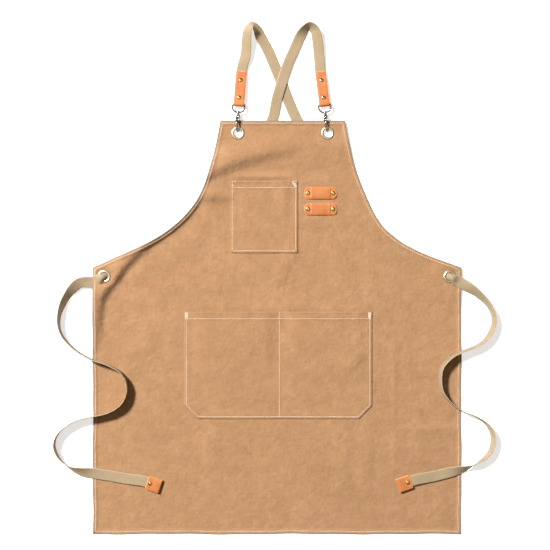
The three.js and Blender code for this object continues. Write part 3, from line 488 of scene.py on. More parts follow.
def add_piece(name, part, finish, stands_for=(), body="apron", uv=None, edge=None, sharp=None):
    """One mesh in the scene, riding on its body, with its finish and the solid that it stands for."""
    points, faces = part
    mesh = bpy.data.meshes.new(name)
    mesh.from_pydata((np.asarray(points) * MM).tolist(), [], faces)
    if uv is not None:
        corner = np.zeros(len(mesh.loops), int)
        mesh.loops.foreach_get("vertex_index", corner)
        layer = mesh.uv_layers.new(name="lay")
        layer.uv.foreach_set("vector", np.asarray(uv, np.float32)[corner].ravel())
    if edge is not None:
        values = mesh.attributes.new("edge", "FLOAT", "POINT")
        values.data.foreach_set("value", np.asarray(edge, np.float32))
    shell = bmesh.new()
    shell.from_mesh(mesh)
    bmesh.ops.recalc_face_normals(shell, faces=shell.faces)
    shell.to_mesh(mesh)
    shell.free()
    mesh.shade_smooth()
    if sharp:
        mesh.set_sharp_from_angle(angle=math.radians(sharp))
    piece = bpy.data.objects.new(name, mesh)
    bpy.context.scene.collection.objects.link(piece)
    mesh.materials.append(finish)
    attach(piece, body)
    if stands_for:
        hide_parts(*stands_for)
    return piece


def joined(parts):
    """Points and faces of several shells as one mesh."""
    points, faces, count = [], [], 0
    for part_points, part_faces in parts:
        points.append(part_points)
        faces += [[i + count for i in face] for face in part_faces]
        count += len(part_points)
    return np.vstack(points), faces


def placed(matrix, part):
    points, faces = part
    turn = np.array(matrix)
    return points @ turn[:3, :3].T + turn[:3, 3], faces


def tube_faces(rows, size, closed=False):
    """Faces round a stack of rings, which closes on itself or is capped at both ends."""
    faces = []
    for i in range(rows if closed else rows - 1):
        here, ahead = i * size, (i + 1) % rows * size
        faces += [(here + j, here + (j + 1) % size, ahead + (j + 1) % size, ahead + j) for j in range(size)]
    if not closed:
        faces += [tuple(reversed(range(size))), tuple(range((rows - 1) * size, rows * size))]
    return faces


def sweep(centres, across, normals, profiles):
    """Closed bar through sections; each profile point is an offset across and along the normal."""
    points = centres[:, None] + across[:, None] * profiles[..., :1] + normals[:, None] * profiles[..., 1:]
    return points.reshape(-1, 3), tube_faces(*profiles.shape[:2])


def along_line(points):
    """Unit direction of travel at each point of a line."""
    travel = np.gradient(points, axis=0)
    return travel / np.linalg.norm(travel, axis=1)[:, None]


def wire(points, radius, binormal, sides=16):
    """Round wire along a flat line."""
    across = np.tile(np.array(binormal, float), (len(points), 1))
    turn = np.linspace(0.0, math.tau, sides, endpoint=False)
    circle = np.column_stack([np.cos(turn), np.sin(turn)]) * radius
    return sweep(points, across, np.cross(along_line(points), across), np.tile(circle, (len(points), 1, 1)))


def lathe(profile, sides=48, closed=False):
    """Turned shape about Z from a profile of radius and height."""
    turn = np.linspace(0.0, math.tau, sides, endpoint=False)
    radius, height = np.array(profile, float).T
    level = np.repeat(height[:, None], sides, axis=1)
    points = np.stack([np.outer(radius, np.cos(turn)), np.outer(radius, np.sin(turn)), level], axis=-1)
    return points.reshape(-1, 3), tube_faces(len(profile), sides, closed)


def moved(x, y, z):
    return Matrix.Translation((x, y, z))


ALONG_Y = Matrix.Rotation(-math.pi / 2, 4, "X")
ALONG_X = Matrix.Rotation(math.pi / 2, 4, "Y")

# Node helpers and shared effects


def linear(red, green, blue):
    """Surface colour from values of 0 to 255 as they would show on a screen."""
    parts = [c / 255.0 for c in (red, green, blue)]
    return (*(c / 12.92 if c <= 0.04045 else ((c + 0.055) / 1.055) ** 2.4 for c in parts), 1.0)


def tones(**colours):
    """The named colours of one finish."""
    return {name: linear(*colour) for name, colour in colours.items()}


class Tree:
    """Short words for adding nodes to one tree."""

    def __init__(self, tree):
        self.tree = tree

    def add(self, kind, inputs=None, **settings):
        node = self.tree.nodes.new(kind)
        for key, value in settings.items():
            setattr(node, key, value)
        for key, value in (inputs or {}).items():
            if isinstance(value, bpy.types.NodeSocket):
                self.tree.links.new(value, node.inputs[key])
            else:
                node.inputs[key].default_value = value
        return node

    def math(self, operation, a, b=0.0):
        return self.add("ShaderNodeMath", {0: a, 1: b}, operation=operation).outputs[0]

    def times(self, a, b):
        return self.math("MULTIPLY", a, b)

    def plus(self, a, b):
        return self.math("ADD", a, b)

    def swing(self, value, turns):
        """Sine of a value times a number."""
        return self.math("SINE", self.times(value, turns))

    def mix(self, share, a, b):
        return self.add("ShaderNodeMix", {0: share, 6: a, 7: b}, data_type="RGBA").outputs[2]

    def mix_value(self, share, a, b):
        return self.add("ShaderNodeMix", {0: share, 2: a, 3: b}, data_type="FLOAT").outputs[0]

    def noise(self, vector, scale, detail=2.0, roughness=0.5):
        inputs = {"Vector": vector, "Scale": scale, "Detail": detail, "Roughness": roughness}
        return self.add("ShaderNodeTexNoise", inputs).outputs[0]

    def spread(self, value, low, high, to_low=0.0, to_high=1.0):
        return self.add("ShaderNodeMapRange", {0: value, 1: low, 2: high, 3: to_low, 4: to_high}).outputs[0]

    def stretch(self, vector, x, y, z):
        return self.add("ShaderNodeVectorMath", {0: vector, 1: (x, y, z)}, operation="MULTIPLY").outputs[0]

    def scaled(self, vector, scale):
        return self.add("ShaderNodeVectorMath", {0: vector, "Scale": scale}, operation="SCALE").outputs[0]

    def split(self, vector):
        return self.add("ShaderNodeSeparateXYZ", {0: vector}).outputs


def effect(name, values, outputs):
    """A node group that takes a vector and named values.

    Gives its tree, its inputs by name and a function that sets its outputs.
    """
    group = bpy.data.node_groups.new(name, "ShaderNodeTree")
    group.interface.new_socket("Vector", in_out="INPUT", socket_type="NodeSocketVector")
    for socket in values:
        group.interface.new_socket(socket, in_out="INPUT", socket_type="NodeSocketFloat")
    for socket in outputs:
        group.interface.new_socket(socket, in_out="OUTPUT", socket_type="NodeSocketFloat")
    given = group.nodes.new("NodeGroupInput").outputs
    result = group.nodes.new("NodeGroupOutput")

    def put_out(**sockets):
        for key, value in sockets.items():
            group.links.new(value, result.inputs[key])
        return group

    return Tree(group), given, put_out


def make_weave():
    """Plain weave: threads over and under each other, with uneven yarns."""
    dip, slub, thread = 0.45, 0.03, 0.7
    tree, given, put_out = effect("plain_weave", ["Threads"], ["Height", "Yarn"])
    cloth = tree.scaled(given["Vector"], given["Threads"])
    x, y, _ = tree.split(cloth)
    warp = tree.math("ABSOLUTE", tree.swing(x, math.pi))
    weft = tree.math("ABSOLUTE", tree.swing(y, math.pi))
    steps = tree.plus(tree.math("FLOOR", x), tree.math("FLOOR", y))
    over = tree.math("MODULO", tree.math("ABSOLUTE", steps), 2.0)
    warp_top = tree.times(warp, tree.spread(weft, 0.0, 1.0, dip, 1.0))
    weft_top = tree.times(weft, tree.spread(warp, 0.0, 1.0, dip, 1.0))
    long_x = tree.noise(tree.stretch(cloth, slub, thread, 0.0), 1.0, 3.0, 0.6)
    long_y = tree.noise(tree.stretch(cloth, thread, slub, 0.0), 1.0, 3.0, 0.6)
    yarn = tree.times(tree.plus(long_x, long_y), 0.5)
    return put_out(Height=tree.mix_value(over, warp_top, weft_top), Yarn=yarn)


def make_mottle():
    """Uneven dye: broad clouds and small flecks."""
    tree, given, put_out = effect("uneven_dye", ["Clouds", "Flecks"], ["Cloud", "Fleck"])
    cloud = tree.noise(given["Vector"], given["Clouds"], 4.0, 0.55)
    fleck = tree.noise(given["Vector"], given["Flecks"], 3.0, 0.65)
    return put_out(Cloud=tree.spread(cloud, 0.3, 0.7), Fleck=tree.spread(fleck, 0.3, 0.7))


def make_wear():
    """Rubbed edges: a mask from the edge value, broken up by noise."""
    tree, given, put_out = effect("rubbed_edge", ["Edge", "Breaks"], ["Wear"])
    breaks = tree.noise(given["Vector"], given["Breaks"], 4.0, 0.7)
    return put_out(Wear=tree.spread(tree.times(given["Edge"], tree.spread(breaks, 0.2, 0.75)), 0.12, 0.75))


def make_grain():
    """Fine pebbled grain with hair pores."""
    bend_scale, bend_reach, pore_scale = 260.0, 0.0016, 1900.0
    tree, given, put_out = effect("fine_grain", ["Pebbles"], ["Height", "Pore"])
    at = given["Vector"]
    bent = tree.add("ShaderNodeTexNoise", {"Vector": at, "Scale": bend_scale, "Detail": 2.0}).outputs[1]
    shift = tree.scaled(bent, bend_reach)
    vector = tree.add("ShaderNodeVectorMath", {0: at, 1: shift}, operation="ADD").outputs[0]
    cells = tree.add("ShaderNodeTexVoronoi", {"Vector": vector, "Scale": given["Pebbles"]}, feature="F1")
    height = tree.spread(cells.outputs[0], 0.0, 0.75, 1.0, 0.0)
    pores = tree.noise(at, pore_scale, 2.0, 0.6)
    return put_out(Height=height, Pore=tree.spread(pores, 0.3, 0.42, 1.0, 0.0))


WEAVE, MOTTLE, WEAR, GRAIN = make_weave(), make_mottle(), make_wear(), make_grain()


class Finish(Tree):
    """A material with its Principled shader and short words for the shared effects."""

    def __init__(self, name, **sockets):
        self.material = bpy.data.materials.new(name)
        self.material.use_nodes = True
        super().__init__(self.material.node_tree)
        self.shader = self.tree.nodes["Principled BSDF"]
        for key, value in sockets.items():
            self.shader.inputs[key.replace("_", " ")].default_value = value

    def place(self):
        return self.add("ShaderNodeTexCoord").outputs["Object"]

    def lay(self):
        return self.add("ShaderNodeUVMap", uv_map="lay").outputs[0]

    def edge(self):
        return self.add("ShaderNodeAttribute", attribute_name="edge").outputs["Fac"]

    def use(self, group, **inputs):
        return self.add("ShaderNodeGroup", inputs, node_tree=group).outputs

    def bump(self, height, distance, strength, under=None):
        inputs = {"Height": height, "Distance": distance, "Strength": strength}
        if under is not None:
            inputs["Normal"] = under
        return self.add("ShaderNodeBump", inputs).outputs[0]

    def feed(self, **sockets):
        for key, value in sockets.items():
            self.tree.links.new(value, self.shader.inputs[key.replace("_", " ")])
        return self.material


def canvas_finish():
    tone = tones(
        # gap: painted shade for the low places between the threads
        deep=(154, 118, 84), faded=(170, 132, 97), patch=(138, 101, 68), yarn=(170, 133, 100),
        # hem: painted shade for the darker line along the body's outline
        gap=(112, 80, 54), fleck=(132, 97, 66), rubbed=(186, 150, 118), hem=(112, 102, 95),
    )
    make = Finish(
        "tan_canvas", Roughness=0.92, Sheen_Weight=0.12, Sheen_Roughness=0.6, Specular_IOR_Level=0.15,
    )
    at = make.place()
    weave = make.use(WEAVE, Vector=at, Threads=1150.0)
    dye = make.use(MOTTLE, Vector=at, Clouds=9.0, Flecks=170.0)
    patch = make.use(MOTTLE, Vector=at, Clouds=46.0, Flecks=1500.0)
    edge = make.edge()
    worn = make.use(WEAR, Vector=at, Edge=edge, Breaks=90.0)
    base = make.mix(dye["Cloud"], tone["deep"], tone["faded"])
    base = make.mix(make.times(patch["Cloud"], 0.75), base, tone["patch"])
    base = make.mix(make.spread(weave["Yarn"], 0.35, 0.65, 0.0, 0.5), base, tone["yarn"])
    # Painted shade: darker where the weave sits low, between the threads
    base = make.mix(make.spread(weave["Height"], 0.0, 0.5, 0.45, 0.0), base, tone["gap"])
    base = make.mix(make.times(dye["Fleck"], 0.38), base, tone["fleck"])
    base = make.mix(make.times(worn["Wear"], 0.5), base, tone["rubbed"])
    # Painted shade: the outermost few millimetres of the body turn grey and dark, standing in for the shade
    # where the hem curves down
    base = make.mix(make.spread(edge, 0.6, 0.9, 0.0, 0.8), base, tone["hem"])
    creased = make.bump(make.noise(at, 105.0, 5.0, 0.62), 0.002, 0.85)
    return make.feed(Base_Color=base, Normal=make.bump(weave["Height"], 0.00022, 0.55, creased))


def webbing_finish():
    twill_pitch, cord_pitch = 0.0024, 0.0011
    tone = tones(
        # gap: painted shade for the low grooves of the twill
        deep=(139, 121, 97), faded=(153, 135, 111), yarn=(167, 150, 126), gap=(116, 98, 66),
        rubbed=(190, 174, 142),
    )
    make = Finish(
        "cotton_webbing", Roughness=0.9, Sheen_Weight=0.1, Sheen_Roughness=0.5, Specular_IOR_Level=0.15,
    )
    lay = make.lay()
    along, across, _ = make.split(lay)
    twill = make.swing(make.plus(along, make.math("ABSOLUTE", across)), math.tau / twill_pitch)
    cords = make.math("ABSOLUTE", make.swing(across, math.pi / cord_pitch))
    weave = make.use(WEAVE, Vector=lay, Threads=900.0)
    dye = make.use(MOTTLE, Vector=lay, Clouds=22.0, Flecks=600.0)
    worn = make.use(WEAR, Vector=lay, Edge=make.edge(), Breaks=120.0)
    base = make.mix(dye["Cloud"], tone["deep"], tone["faded"])
    base = make.mix(make.spread(weave["Yarn"], 0.35, 0.65, 0.0, 0.5), base, tone["yarn"])
    # Painted shade: darker in the low grooves of the twill
    base = make.mix(make.spread(twill, -1.0, 0.4, 0.4, 0.0), base, tone["gap"])
    base = make.mix(make.times(worn["Wear"], 0.35), base, tone["rubbed"])
    height = make.plus(make.times(twill, 0.5), cords)
    return make.feed(Base_Color=base, Normal=make.bump(height, 0.0002, 0.6))


def leather_finish():
    tone = tones(
        deep=(163, 97, 51), faded=(180, 117, 69), fleck=(160, 80, 34), pore=(150, 70, 30),
        rubbed=(224, 160, 112),
    )
    make = Finish("orange_leather", Specular_IOR_Level=0.28, Coat_Weight=0.03, Coat_Roughness=0.4)
    at = make.place()
    grain = make.use(GRAIN, Vector=at, Pebbles=1250.0)
    dye = make.use(MOTTLE, Vector=at, Clouds=70.0, Flecks=900.0)
    worn = make.use(WEAR, Vector=at, Edge=make.edge(), Breaks=240.0)
    base = make.mix(dye["Cloud"], tone["deep"], tone["faded"])
    base = make.mix(make.times(dye["Fleck"], 0.25), base, tone["fleck"])
    base = make.mix(make.times(grain["Pore"], 0.3), base, tone["pore"])
    base = make.mix(worn["Wear"], base, tone["rubbed"])
    rough = make.spread(make.plus(dye["Fleck"], worn["Wear"]), 0.0, 2.0, 0.5, 0.75)
    return make.feed(Base_Color=base, Roughness=rough, Normal=make.bump(grain["Height"], 0.00012, 0.5))


def thread_finish():
    # gap: painted shade for the grooves of the twist
    tone = tones(deep=(198, 176, 152), faded=(218, 201, 182), gap=(158, 128, 100))
    make = Finish("cream_thread", Roughness=0.7, Sheen_Weight=0.1, Specular_IOR_Level=0.25)
    along, around, _ = make.split(make.lay())
    twist = make.swing(make.plus(along, around), math.tau)
    dye = make.use(MOTTLE, Vector=make.place(), Clouds=40.0, Flecks=700.0)
    base = make.mix(dye["Cloud"], tone["deep"], tone["faded"])
    # Painted shade: darker in the grooves of the twist
    base = make.mix(make.spread(twist, -1.0, 0.0, 0.45, 0.0), base, tone["gap"])
    return make.feed(Base_Color=base, Normal=make.bump(twist, 0.00012, 0.6))


def metal_finish(name, bright, dull, smoothest, roughest):
    make = Finish(name, Metallic=1.0)
    dye = make.use(MOTTLE, Vector=make.place(), Clouds=120.0, Flecks=1600.0)
    base = make.mix(dye["Cloud"], linear(*bright), linear(*dull))
    rough = make.spread(make.plus(dye["Cloud"], dye["Fleck"]), 0.0, 2.0, smoothest, roughest)
    return make.feed(Base_Color=base, Roughness=rough, Normal=make.bump(dye["Fleck"], 0.00003, 0.3))


CANVAS_FINISH = canvas_finish()
WEBBING_FINISH = webbing_finish()
LEATHER_FINISH = leather_finish()
THREAD_FINISH = thread_finish()
NICKEL_FINISH = metal_finish("polished_nickel", (186, 185, 181), (160, 158, 154), 0.03, 0.1)
EYELET_FINISH = metal_finish("satin_nickel", (226, 216, 198), (206, 194, 174), 0.24, 0.36)
BRASS_FINISH = metal_finish("polished_brass", (236, 200, 130), (216, 170, 96), 0.08, 0.2)

# Canvas body and pockets

BODY_LOOP = body_outline()
BODY_GRID = 5.0
POCKET_GRID = 4.0
HEM_DEPTHS = (0.45, 1.1, 3.0, 4.6, 5.3, 6.0, 7.0, 8.8, 11.0)
POCKET_DEPTHS = (0.4, 1.0, 2.4, 3.3, 4.2, 6.5, 9.5)
HOLE_RADIUS = EYELET["hole"] + EYELET["barrel"] + EYELET["play"]
EDGE_ROUND = {"share": 0.32, "depth": 1.1}
PUCKER = {"pitch": 8.7, "drift": 1.3, "drift_length": 23.0, "slant": 0.5, "from_edge": 0.45, "width": 0.6}
GROOVE = {"depth": 0.28, "width": 0.9}
MIDDLE_GROOVE = {"depth": 0.3, "width": 1.0}


def rounded_edge(depth, thick):
    """How far the two faces of a sheet draw together towards its edge."""
    share = 1.0 - np.clip(depth / EDGE_ROUND["depth"], 0.0, 1.0)
    return EDGE_ROUND["share"] * thick * (1.0 - np.sqrt(np.clip(1.0 - share**2, 0.0, 1.0)))


def groove(distance, shape=GROOVE):
    """Cloth drawn down under a row of stitches."""
    return shape["depth"] * np.exp(-((distance / shape["width"]) ** 2))


def puckers(depth, place, stitch_depth, size):
    """Drawn-in cloth along a row of stitches near an edge."""
    drift = PUCKER["drift"] * np.sin(place / PUCKER["drift_length"]) + depth * PUCKER["slant"]
    swell = np.sin(place * math.tau / PUCKER["pitch"] + drift)
    near = (depth - stitch_depth * PUCKER["from_edge"]) / (stitch_depth * PUCKER["width"])
    return size * swell * np.exp(-(near**2)) - groove(depth - stitch_depth)


def body_faces(xy):
    depth, place, _ = edge_facts(xy, BODY_LOOP)
    low = cloth_lift(*xy.T)
    thick = blend(HEM["thick"], CANVAS, ease(depth, HEM["width"], HEM["width"] + HEM["step"]))
    close = rounded_edge(depth, thick)
    high = low + thick - close + puckers(depth, place, HEM["stitch"], HEM["pucker"])
    return low + close, high, depth


def body_top(xy):
    return body_faces(np.asarray(xy, float))[1]


def pocket_faces(pocket, loop, xy):
    x, y = xy.T
    depth, place, _ = edge_facts(xy, loop)
    left, right, bottom, top, seams = pick(pocket, "left", "right", "bottom", "top", "seams")
    from_mouth = top - y
    from_seam = np.min([np.abs(x - seam) for seam in (left, *seams, right)], axis=0)
    open_across = ease(from_seam, POCKET["seam"], POCKET["seam"] + POCKET["rise"])
    open_up = ease(y - bottom, POCKET["seam"], (top - bottom) * POCKET["full_at"])
    lift = cloth_lift(x, y) + CANVAS + POCKET["off_body"] + pocket["gape"] * open_across * open_up
    turned = 1.0 - ease(depth, POCKET["turned"], POCKET["turned"] + POCKET["step"])
    hemmed = 1.0 - ease(from_mouth, POCKET["hem"], POCKET["hem"] + POCKET["step"])
    thick = blend(CANVAS, POCKET["thick"], np.maximum(turned, hemmed))
    close = rounded_edge(depth, thick) * blend(POCKET["mouth_round"], 1.0, ease(from_mouth, *MOUTH["round"]))
    sewn = ease(from_mouth, *MOUTH["sewn"])
    rolled = pocket["roll"] * ease(from_mouth, *MOUTH["roll"]) * (1.0 - ease(from_mouth, *MOUTH["roll_end"]))
    high = lift + thick - close + sewn * puckers(depth, place, POCKET["stitch"], POCKET["pucker"]) + rolled
    high -= groove(from_mouth - POCKET["hem_stitch"])
    for seam in seams:
        high -= groove(x - seam, MIDDLE_GROOVE)
    return lift + close, high, depth


def add_body():
    xy, triangles = flat_cut(BODY_LOOP, BODY_GRID, HEM_DEPTHS, BIB_EYELETS + WAIST_EYELETS, HOLE_RADIUS)
    low, high, depth = body_faces(xy)
    # Edge value: 1 at the cut edge, falling to 0 at HEM["worn"] in; the canvas finish uses it for rubbed wear
    # and, above 0.6, for painted shade along the outline
    edge = np.tile(1.0 - ease(depth, 0.0, HEM["worn"]), 2)
    sheet = cloth_solid(xy, triangles, low, high)
    return add_piece("canvas_body", sheet, CANVAS_FINISH, ["apron_body"], edge=edge)


def add_pocket(name, node, pocket):
    loop = pocket_outline(pocket)
    xy, triangles = flat_cut(loop, POCKET_GRID, POCKET_DEPTHS)
    low, high, depth = pocket_faces(pocket, loop, xy)
    worn = (1.0 - ease(depth, 0.0, POCKET["worn"])) * ease(pocket["top"] - xy[:, 1], *MOUTH["worn"])
    edge = np.tile(POCKET["worn_share"] * worn, 2)
    sheet = cloth_solid(xy, triangles, low, high)
    return add_piece(name, sheet, CANVAS_FINISH, [node], edge=edge), loop


canvas_body = add_body()
chest_piece, CHEST_LOOP = add_pocket("canvas_chest_pocket", "chest_pocket", CHEST_POCKET)
lap_piece, LAP_LOOP = add_pocket("canvas_lap_pocket", "lap_pocket", LAP_POCKET)

# Stitching

STITCH = {"length": 3.3, "gap": 0.5, "thread": 0.72, "rings": 7}
TACK = {"length": 2.3, "gap": 0.05, "thread": 0.5, "rings": 5}
THREAD = {
    "sides": 6, "turn": 0.035, "lengths": (0.93, 1.04), "pinch": 0.75, "proud": 0.62, "dip": 1.05,
    "twist": 1.3,
}
# Tacks of the chest pocket, measured from its upper corners
RIGHT_BAR = {"from": (-9.5, -2.2), "to": (-2.4, -12.0), "width": 3.0, "turns": 29}
RIGHT_FRAME = [(-2.6, -12.6), (-2.6, -2.0), (-9.5, -1.8)]
LEFT_FRAME = [(2.9, -11.5), (2.9, -1.8), (9.0, -1.8), (3.4, -11.5)]
# Tacks of the lap pocket, measured in from its sides and up from its mouth
UPRIGHT_BAR = {"in": 3.9, "from": -1.6, "to": -13.6, "width": 5.0, "turns": 31}


def stitch_places(lines, pitch):
    """Middle and direction of each stitch along lines on the cloth."""
    middles, travels = [], []
    for line in lines:
        line = np.asarray(line, float)
        along = travelled(line)
        stations = np.arange(pitch / 2, along[-1], pitch)
        middles.append(at_stations(stations, along, line))
        travels.append(at_stations(stations + 0.5, along, line) - at_stations(stations - 0.5, along, line))
    travel = np.vstack(travels)
    return np.vstack(middles), travel / np.linalg.norm(travel, axis=1)[:, None]


def add_stitches(name, lines, top_of, stitch=STITCH):
    """Short lengths of thread along lines on the cloth, each dipping into it at both ends."""
    here, travel = stitch_places(lines, stitch["length"] + stitch["gap"])
    turn = draws.normal(0.0, THREAD["turn"], len(here))
    (tx, ty), cos, sin = travel.T, np.cos(turn), np.sin(turn)
    travel = np.column_stack([tx * cos - ty * sin, tx * sin + ty * cos])
    half = stitch["length"] / 2 * draws.uniform(*THREAD["lengths"], len(here))
    front = top_of(here + travel * half[:, None])
    back = top_of(here - travel * half[:, None])
    middle = np.column_stack([here, top_of(here)])
    forward = np.column_stack([travel, (front - back) / (2 * half)])
    side = np.column_stack([-travel[:, 1], travel[:, 0], np.zeros(len(here))])
    rings, sides = stitch["rings"], THREAD["sides"]
    t = np.linspace(-1.0, 1.0, rings)
    angle = np.linspace(0.0, math.tau, sides, endpoint=False)
    thick = stitch["thread"] * np.sqrt(1.0 - THREAD["pinch"] * np.abs(t) ** 4)
    rise = stitch["thread"] * (THREAD["proud"] - THREAD["dip"] * np.abs(t) ** 3)
    shape = (
        middle[:, None, None]
        + forward[:, None, None] * (half[:, None] * t)[:, :, None, None]
        + side[:, None, None] * (thick[:, None] * np.cos(angle))[None, :, :, None]
        + np.array([0.0, 0.0, 1.0]) * (rise[:, None] + thick[:, None] * np.sin(angle))[None, :, :, None]
    )
    one = tube_faces(rings, sides)
    faces = [tuple(k + n * rings * sides for k in face) for n in range(len(here)) for face in one]
    twists = t[:, None] * stitch["length"] / THREAD["twist"]
    lay = np.stack(np.broadcast_arrays(twists, angle / math.tau), axis=-1)
    lay = np.tile(lay.reshape(-1, 2), (len(here), 1))
    return add_piece(name, (shape.reshape(-1, 3), faces), THREAD_FINISH, uv=lay)


def zigzag(start, end, width, turns):
    """Dense back-and-forth line of a reinforcing tack."""
    start, end = np.array(start, float), np.array(end, float)
    ahead = (end - start) / np.linalg.norm(end - start)
    side = np.array([-ahead[1], ahead[0]]) * width / 2
    share = np.linspace(0.0, 1.0, turns)
    swing = np.where(np.arange(turns) % 2, 1.0, -1.0)
    return start + share[:, None] * (end - start) + swing[:, None] * side


def pocket_top(pocket, loop):
    return lambda xy: pocket_faces(pocket, loop, np.asarray(xy, float))[1]


def pocket_lines(pocket, loop):
    """Round the sides and bottom, along the mouth's hem and down each middle seam."""
    left, right, bottom, top = pick(pocket, "left", "right", "bottom", "top")
    depth = POCKET["stitch"]
    inset = inset_line(loop, depth)
    inset = inset[top - inset[:, 1] > depth + POCKET["sides_below"]]
    start = int(np.argmin(np.hypot(inset[:, 0] - left, inset[:, 1] - top)))
    hem_y = top - POCKET["hem_stitch"]
    hem_in = depth + POCKET["hem_inside"]
    lines = [np.roll(inset, -start, axis=0), [(left + hem_in, hem_y), (right - hem_in, hem_y)]]
    seam_top = top - POCKET["seam_below"]
    return lines + [[(seam, seam_top), (seam, bottom + depth)] for seam in pocket["seams"]]


def slanted_tacks(pocket):
    """A small stitched triangle across each upper corner, the right one sewn over more densely."""
    right = np.array([pocket["right"], pocket["top"]])
    left = np.array([pocket["left"], pocket["top"]])
    bar = zigzag(right + RIGHT_BAR["from"], right + RIGHT_BAR["to"], RIGHT_BAR["width"], RIGHT_BAR["turns"])
    return [bar, right + RIGHT_FRAME, left + LEFT_FRAME]


def upright_tacks(pocket):
    """A dense upright bar at each end of the mouth."""
    inside, high, low, width, turns = pick(UPRIGHT_BAR, "in", "from", "to", "width", "turns")
    top = pocket["top"]
    places = (pocket["left"] + inside, pocket["right"] - inside)
    return [zigzag((x, top + high), (x, top + low), width, turns) for x in places]


hem_line = inset_line(BODY_LOOP, HEM["stitch"])
hem_stitches = add_stitches("hem_stitches", [np.vstack([hem_line, hem_line[:1]])], body_top)
chest_top, lap_top = pocket_top(CHEST_POCKET, CHEST_LOOP), pocket_top(LAP_POCKET, LAP_LOOP)
chest_stitches = add_stitches("chest_pocket_stitches", pocket_lines(CHEST_POCKET, CHEST_LOOP), chest_top)
lap_stitches = add_stitches("lap_pocket_stitches", pocket_lines(LAP_POCKET, LAP_LOOP), lap_top)
chest_tacks = add_stitches("chest_pocket_tacks", slanted_tacks(CHEST_POCKET), chest_top, TACK)
lap_tacks = add_stitches("lap_pocket_tacks", upright_tacks(LAP_POCKET), lap_top, TACK)

# Places of the hooks, leather tabs and tie tips


def turned(degrees, axis):
    return Matrix.Rotation(math.radians(degrees), 4, axis)


def hook_places(side):
    roll = math.radians(HOOK["roll"])
    axis_z = FLOOR_GAP + HOOK["wire"] + HOOK["span"] / 2 * math.cos(roll)
    heading = math.radians(side["hook_deg"])
    x = side["eyelet_x"] - HOLE_TO_HOOK * math.sin(heading)
    y = BIB_EYELET["y"] + HOLE_TO_HOOK * math.cos(heading)
    swivel = moved(x, y, axis_z) @ turned(side["hook_deg"], "Z")
    slope = Matrix.Rotation(math.atan2(TAB["end_z"] - axis_z, TAB["length"]), 4, "X")
    bar = swivel @ Vector((0.0, HOOK_EYE["bar"], 0.0))
    return {
        "swivel": swivel,
        "hook": swivel @ turned(-HOOK["roll"], "Y"),
        "tab": moved(*bar) @ turned(side["tab_deg"], "Z") @ slope,
        "tip": moved(*side["tip"], TIP["z"]) @ turned(side["tip_deg"], "Z"),
    }


PLACES = {name: hook_places(side) for name, side in SIDES.items()}

# Webbing

SECTION_EVERY = 2.0
ROUTE_STEPS = 40
LEAST_GATHER = 1e-3
# Smoothing of height, lean and gather along a route, counted in sections: the short one takes over where
# the webbing is gathered
SMOOTHING = {"loose": 4, "gathered": 1, "spread": 6, "gather": (0.02, 0.2)}


def flat_row(matrix, y, lean):
    p = matrix @ Vector((0.0, y, 0.0))
    return (p.x, p.y, p.z - WEBBING["thick"] / 2, lean, 0.0)


def strap_rows(name):
    """Whole route of one webbing, from its tab over shoulder, back and waist eyelet to its tip."""
    side, places = SIDES[name], PLACES[name]
    waist_x, waist_y = side["waist_x"], WAIST_EYELET["y"]
    last_x, last_y = side["back"][-1]
    heading = math.atan2(waist_y - last_y, waist_x - last_x)
    through = [
        (waist_x + past * math.cos(heading), waist_y + past * math.sin(heading), lift, FLAT_OVER, gather)
        for past, lift, gather in THROUGH_EYELET
    ]
    back = [(x, y, FLOOR_GAP, FLAT_OVER, 0.0) for x, y in side["back"]]
    in_tab = (TAB["webbing_from"], TAB["length"] + TAB["webbing_past"])
    in_tip = (TIP["length"] + TIP["webbing_past"], TIP["webbing_from"])
    start = [flat_row(places["tab"], y, FLAT_OVER) for y in in_tab]
    end = [flat_row(places["tip"], y, FLAT) for y in in_tip]
    shoulder, tie = ([(*row, 0.0) for row in side[part]] for part in ("shoulder", "tie"))
    return np.array([*start, *shoulder, *back, *through, *tie, *end], float)


def smoothed(values, reach):
    kernel = np.exp(-0.5 * (np.arange(-3 * reach, 3 * reach + 1) / reach) ** 2)
    padded = np.pad(values, 3 * reach, mode="edge")
    return np.convolve(padded, kernel / kernel.sum(), mode="valid")


def strap_sections(rows):
    """Even sections along a route: place, height, lean and gather."""
    ends = np.vstack([2 * rows[0, :2] - rows[1, :2], rows[:, :2], 2 * rows[-1, :2] - rows[-2, :2]])
    share = np.linspace(0.0, 1.0, ROUTE_STEPS, endpoint=False)[:, None]
    dense = []
    for i in range(len(rows) - 1):
        p0, p1, p2, p3 = ends[i : i + 4]
        d0, d1, d2 = (math.sqrt(np.linalg.norm(b - a)) for a, b in ((p0, p1), (p1, p2), (p2, p3)))
        m1 = ((p1 - p0) / d0 - (p2 - p0) / (d0 + d1) + (p2 - p1) / d1) * d1
        m2 = ((p2 - p1) / d1 - (p3 - p1) / (d1 + d2) + (p3 - p2) / d2) * d1
        square, cube = 3 * (p2 - p1) - 2 * m1 - m2, 2 * (p1 - p2) + m1 + m2
        place = p1 + m1 * share + square * share**2 + cube * share**3
        rest = blend(rows[i, 2:], rows[i + 1, 2:], ease(share, 0.0, 1.0))
        dense.append(np.hstack([place, rest]))
    dense = np.vstack([*dense, rows[-1:]])
    along = travelled(dense[:, :2])
    even = at_stations(np.linspace(0.0, along[-1], int(round(along[-1] / SECTION_EVERY)) + 1), along, dense)
    tight = ease(smoothed(even[:, 4], SMOOTHING["spread"]), *SMOOTHING["gather"])
    for column in (2, 3, 4):
        loose, gathered = (smoothed(even[:, column], SMOOTHING[k]) for k in ("loose", "gathered"))
        even[:, column] = blend(loose, gathered, tight)
    return even


